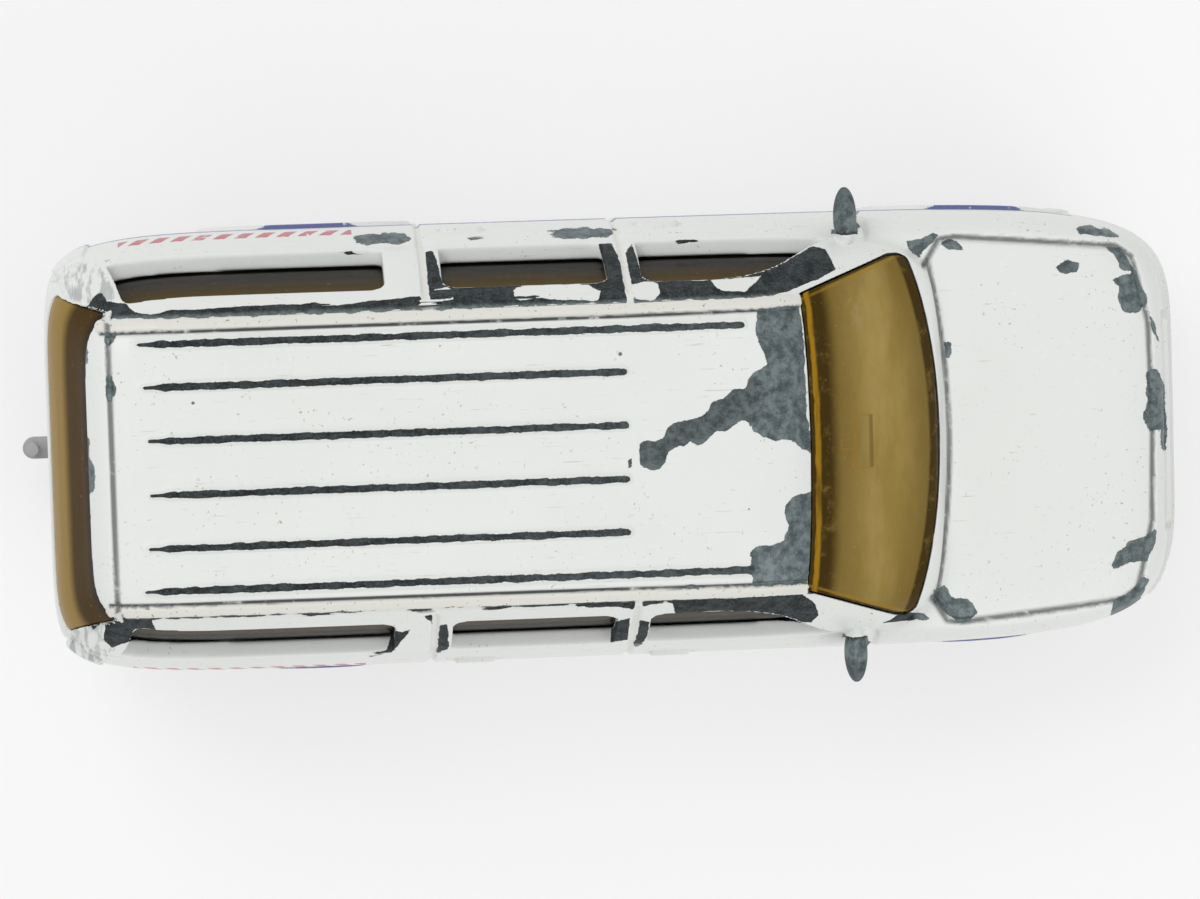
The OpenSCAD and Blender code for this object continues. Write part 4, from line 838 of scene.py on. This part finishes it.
amber = Finish("amber_plastic")
where = amber.add("TexCoord").outputs["Object"]
place = amber.add("SeparateXYZ", {0: where})
high = amber.calc("MULTIPLY", place.outputs[2], 1000.0)
head, foot, side, screen, rear = [
    amber.add("Attribute", attribute_name=name).outputs["Fac"]
    for name in ("from_head", "from_foot", "from_side", "in_screen", "in_rear")]
wobble = amber.calc("MULTIPLY", amber.calc("SUBTRACT", amber.noise(where, 500.0, 4.0), 0.5), 0.35)
head = amber.calc("ADD", head, wobble)
haze = amber.noise(where, 1.0, 6.0, 0.6, stretch=(420.0, 130.0, 130.0))
olive = amber.blend(amber.step(haze, 0.34, 0.66), (0.43, 0.30, 0.078, 1), (0.56, 0.41, 0.13, 1))
# Painted shade: the windscreen darkens towards its foot and its header, where the cabin behind is in shade
screen_edge_shade = amber.calc("MAXIMUM", amber.step(foot, 0.8, 3.4, 0.55, 0.0), amber.step(head, 1.6, 5.2, 0.6, 0.0))
screen_edge_shade = amber.calc("MULTIPLY", screen_edge_shade, amber.calc("MULTIPLY_ADD", haze, 0.9, 0.55))
olive = amber.blend(screen_edge_shade, olive, (0.17, 0.098, 0.010, 1))
shadow = amber.step(head, 1.3, 2.3, 1.0, 0.0)
shadow = amber.calc("MAXIMUM", shadow, amber.step(foot, 0.68, 0.92, 1.0, 0.0))
shadow = amber.calc("MAXIMUM", shadow, amber.step(side, 0.2, 0.32, 1.0, 0.0))
mist = amber.calc("MULTIPLY", amber.step(amber.noise(where, 800.0, 8.0, 0.75), 0.5, 0.72), 0.75)
shadow = amber.calc("SUBTRACT", shadow, amber.calc("MULTIPLY", shadow, mist))
tone = amber.blend(amber.calc("MULTIPLY", shadow, 0.93), olive, (0.062, 0.034, 0.002, 1))
# Painted highlight: a golden line of light just below the header and along the sides, where light catches
# the edge of the moulding
header_highlight = amber.calc("MULTIPLY", amber.step(head, 0.3, 0.4), amber.step(head, 0.6, 0.82, 1.0, 0.0))
edge = amber.calc("MULTIPLY", amber.step(side, 0.3, 0.36), amber.step(side, 0.42, 0.55, 1.0, 0.0))
header_highlight = amber.calc("MAXIMUM", header_highlight, amber.calc("MULTIPLY", edge, 0.7))
streaks = amber.noise(where, 1.0, 5.0, 0.65, stretch=(2600.0, 260.0, 260.0))
header_highlight = amber.calc("MULTIPLY", header_highlight, amber.step(streaks, 0.3, 0.6, 0.35, 1.0))
tone = amber.blend(header_highlight, tone, (0.54, 0.29, 0.014, 1))


# The outline of the driving mirror is painted on the windscreen as a golden highlight, its far
# edge as painted shade
def framed(middle, size):
    """How far points lie outside a box seen from above, less than zero inside it"""
    gaps = []
    for axis in (0, 1):
        offset = amber.calc("ABSOLUTE", amber.calc("SUBTRACT", place.outputs[axis], middle[axis] * MM))
        gaps.append(amber.calc("SUBTRACT", offset, size[axis] / 2 * MM))
    return amber.calc("MAXIMUM", gaps[0], gaps[1])


outline = amber.calc("MINIMUM", framed((15.45, -0.15), (1.25, 3.35)), framed((14.4, -0.28), (0.9, 0.55)))
outline = amber.step(amber.calc("ABSOLUTE", outline), 0.03 * MM, 0.09 * MM, 0.5, 0.0)
tone = amber.blend(outline, tone, (0.50, 0.24, 0.02, 1))
mirror_far_shade = amber.step(framed((16.0, -0.15), (0.25, 3.3)), -0.05 * MM, 0.06 * MM, 0.42, 0.0)
tone = amber.blend(mirror_far_shade, tone, (0.10, 0.075, 0.03, 1))
rubbed_at = amber.add("VectorMath", {0: where, 1: (0.0148, 0.0080, 0.0222)}, operation="DISTANCE")
rubbed = amber.step(rubbed_at.outputs["Value"], 0.6 * MM, 2.6 * MM, 0.65, 0.0)
rubbed = amber.calc("MULTIPLY", rubbed, amber.step(amber.noise(where, 900.0, 8.0, 0.7), 0.42, 0.66))
tone = amber.blend(rubbed, tone, (0.56, 0.46, 0.22, 1))
# Painted light and shade: the side panes are near black at the sill, where the cabin below is in shade, and
# lit amber towards the roof
side_pane_shade = amber.blend(amber.step(high, 20.5, 25.4), (0.005, 0.004, 0.002, 1), (0.22, 0.14, 0.026, 1))
# Painted light and shade: the rear window is pale tan low down, partly haze and partly a painted reflection,
# brown above and near black in painted shade under the roof
back = amber.blend(amber.step(high, 21.9, 23.0), (0.48, 0.31, 0.075, 1), (0.07, 0.034, 0.002, 1))
back = amber.blend(amber.step(high, 24.3, 25.0), back, (0.012, 0.008, 0.003, 1))
back = amber.blend(amber.calc("MULTIPLY", haze, 0.2), back, (0.24, 0.14, 0.02, 1))
tone = amber.blend(screen, amber.blend(rear, side_pane_shade, back), tone)
hair = amber.noise(where, 1.0, 4.0, 0.6, stretch=(5000.0, 400.0, 400.0))
scuff = amber.calc("MULTIPLY", amber.step(hair, 0.66, 0.78), 0.35)
tone = amber.blend(scuff, tone, (0.50, 0.38, 0.16, 1))
dust = amber.step(amber.noise(where, 4200.0, 2.0), 0.70, 0.76)
tone = amber.blend(amber.calc("MULTIPLY", dust, 0.4), tone, (0.55, 0.46, 0.28, 1))
bump = amber.add("Bump", {"Strength": 0.25, "Distance": 0.00004, "Height": scuff})
clear = amber.add("BsdfPrincipled", {
    "Base Color": tone, "Roughness": amber.calc("MULTIPLY_ADD", haze, 0.2, 0.1), "IOR": 1.2,
    "Specular IOR Level": 0.25, "Transmission Weight": 0.35, "Normal": bump.outputs[0]})
glass.data.materials.clear()
glass.data.materials.append(amber.close(clear))
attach(glass, "car")
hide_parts("window_moulding")


# Seat moulding: one tub of matt dark plastic with seats, dashboard and steering wheel, dropped
# in from below and held between the windows and the base.
def eased_copy(node, name, width, smooth=35):
    """A copy of a solid, welded into clean faces, with its edges rounded off"""
    bpy.ops.object.select_all(action="DESELECT")
    copy = bpy.data.objects.new(name, frame["nodes"][node].data.copy())
    bpy.context.scene.collection.objects.link(copy)
    bpy.context.view_layer.objects.active = copy
    copy.select_set(True)
    edit(lambda: bpy.ops.mesh.remove_doubles(threshold=2e-6),
         lambda: bpy.ops.mesh.dissolve_limited(angle_limit=math.radians(1.0)))
    bpy.ops.object.modifier_add(type="BEVEL")
    round_off = copy.modifiers[-1]
    round_off.width, round_off.segments = width * MM, 2
    round_off.limit_method, round_off.angle_limit = "ANGLE", math.radians(smooth)
    round_off.use_clamp_overlap = True
    bpy.ops.object.modifier_apply(modifier=round_off.name)
    bpy.ops.object.shade_smooth_by_angle(angle=math.radians(smooth))
    copy.data.materials.clear()
    return copy


def moulded(name, dark, pale, rough, grain):
    """A plastic or rubber finish with a fine grain and a little dust"""
    finish = Finish(name)
    where = finish.add("TexCoord").outputs["Object"]
    cloud = finish.noise(where, 180.0, 4.0)
    fine = finish.noise(where, 5200.0, 2.0)
    tone = finish.blend(cloud, dark, pale)
    dust = finish.calc("MULTIPLY", finish.step(finish.noise(where, 900.0, 5.0, 0.65), 0.56, 0.74), 0.3)
    tone = finish.blend(dust, tone, tuple(0.5 * c + 0.13 for c in pale[:3]) + (1,))
    bump = finish.add("Bump", {"Strength": grain, "Distance": 0.00004, "Height": fine})
    skin = finish.add("BsdfPrincipled", {
        "Base Color": tone, "Roughness": finish.calc("MULTIPLY_ADD", cloud, 0.2, rough),
        "Normal": bump.outputs[0]})
    return finish.close(skin)


seats = eased_copy("seat_moulding", "seat_tub", 0.14)
seat_plastic = moulded("seat_plastic", (0.030, 0.029, 0.027, 1), (0.050, 0.048, 0.045, 1), 0.5, 0.3)
seats.data.materials.append(seat_plastic)
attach(seats, "car")
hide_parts("seat_moulding")

# Base plate: one moulding of grey plastic with the tow hook, the axle cradles and the
# running gear in low relief, held to the posts of the casting by two rivets.
base = eased_copy("base_plate", "base_tray", 0.1)
base_plastic = moulded("base_plastic", (0.36, 0.36, 0.365, 1), (0.44, 0.44, 0.445, 1), 0.4, 0.35)
base.data.materials.append(base_plastic)
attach(base, "car")
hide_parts("base_plate")


# Rivets: two soft zinc rivets driven through the base into the posts of the casting. Their heads
# lie in round recesses of the base.
def bright_metal(name, dark, pale, rough, scale):
    """Worn bright metal with turning marks and tarnish"""
    finish = Finish(name)
    where = finish.add("TexCoord").outputs["Object"]
    cloud = finish.noise(where, scale, 6.0, 0.65)
    tone = finish.blend(finish.step(cloud, 0.35, 0.68), dark, pale)
    lines = finish.noise(where, 1.0, 3.0, 0.6, stretch=(900.0, 9000.0, 900.0))
    bump = finish.add("Bump", {"Strength": 0.2, "Distance": 0.00003, "Height": lines})
    skin = finish.add("BsdfPrincipled", {
        "Base Color": tone, "Metallic": 0.9, "Normal": bump.outputs[0],
        "Roughness": finish.calc("MULTIPLY_ADD", cloud, 0.3, rough)})
    return finish.close(skin)


rivets = eased_copy("base_rivets", "rivet_pair", 0.16)
rivet_zinc = bright_metal("rivet_zinc", (0.28, 0.28, 0.29, 1), (0.55, 0.55, 0.56, 1), 0.28, 900.0)
rivets.data.materials.append(rivet_zinc)
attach(rivets, "car")
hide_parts("base_rivets")

# Axles: two lengths of steel wire laid in the cradles of the base, upset into a round head at
# each end after the wheels are on.
wire = bright_metal("axle_steel", (0.40, 0.39, 0.38, 1), (0.68, 0.68, 0.69, 1), 0.2, 1400.0)
for end in ("front", "rear"):
    axle = eased_copy(end + "_axle", end + "_axle_wire", 0.08, 30)
    axle.data.materials.append(wire)
    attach(axle, "car")
    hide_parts(end + "_axle")

# Wheels: a silvered plastic hub with six spokes, pressed into a black tyre of soft plastic with
# cross grooves in its tread. Both turn together on the axle wire.
rubber = moulded("tyre_rubber", (0.018, 0.018, 0.019, 1), (0.034, 0.034, 0.035, 1), 0.55, 0.5)
silver = bright_metal("hub_silver", (0.42, 0.42, 0.43, 1), (0.66, 0.66, 0.67, 1), 0.26, 500.0)
for end in ("front", "rear"):
    for hand in ("left", "right"):
        wheel = "%s_%s" % (end, hand)
        tyre = eased_copy("tyre_" + wheel, "tyre_%s_rubber" % wheel, 0.1)
        tyre.data.materials.append(rubber)
        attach(tyre, "wheel_" + wheel)
        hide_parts("tyre_" + wheel)
        hub = eased_copy("hub_" + wheel, "hub_%s_silver" % wheel, 0.07)
        hub.data.materials.append(silver)
        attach(hub, "wheel_" + wheel)
        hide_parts("hub_" + wheel)
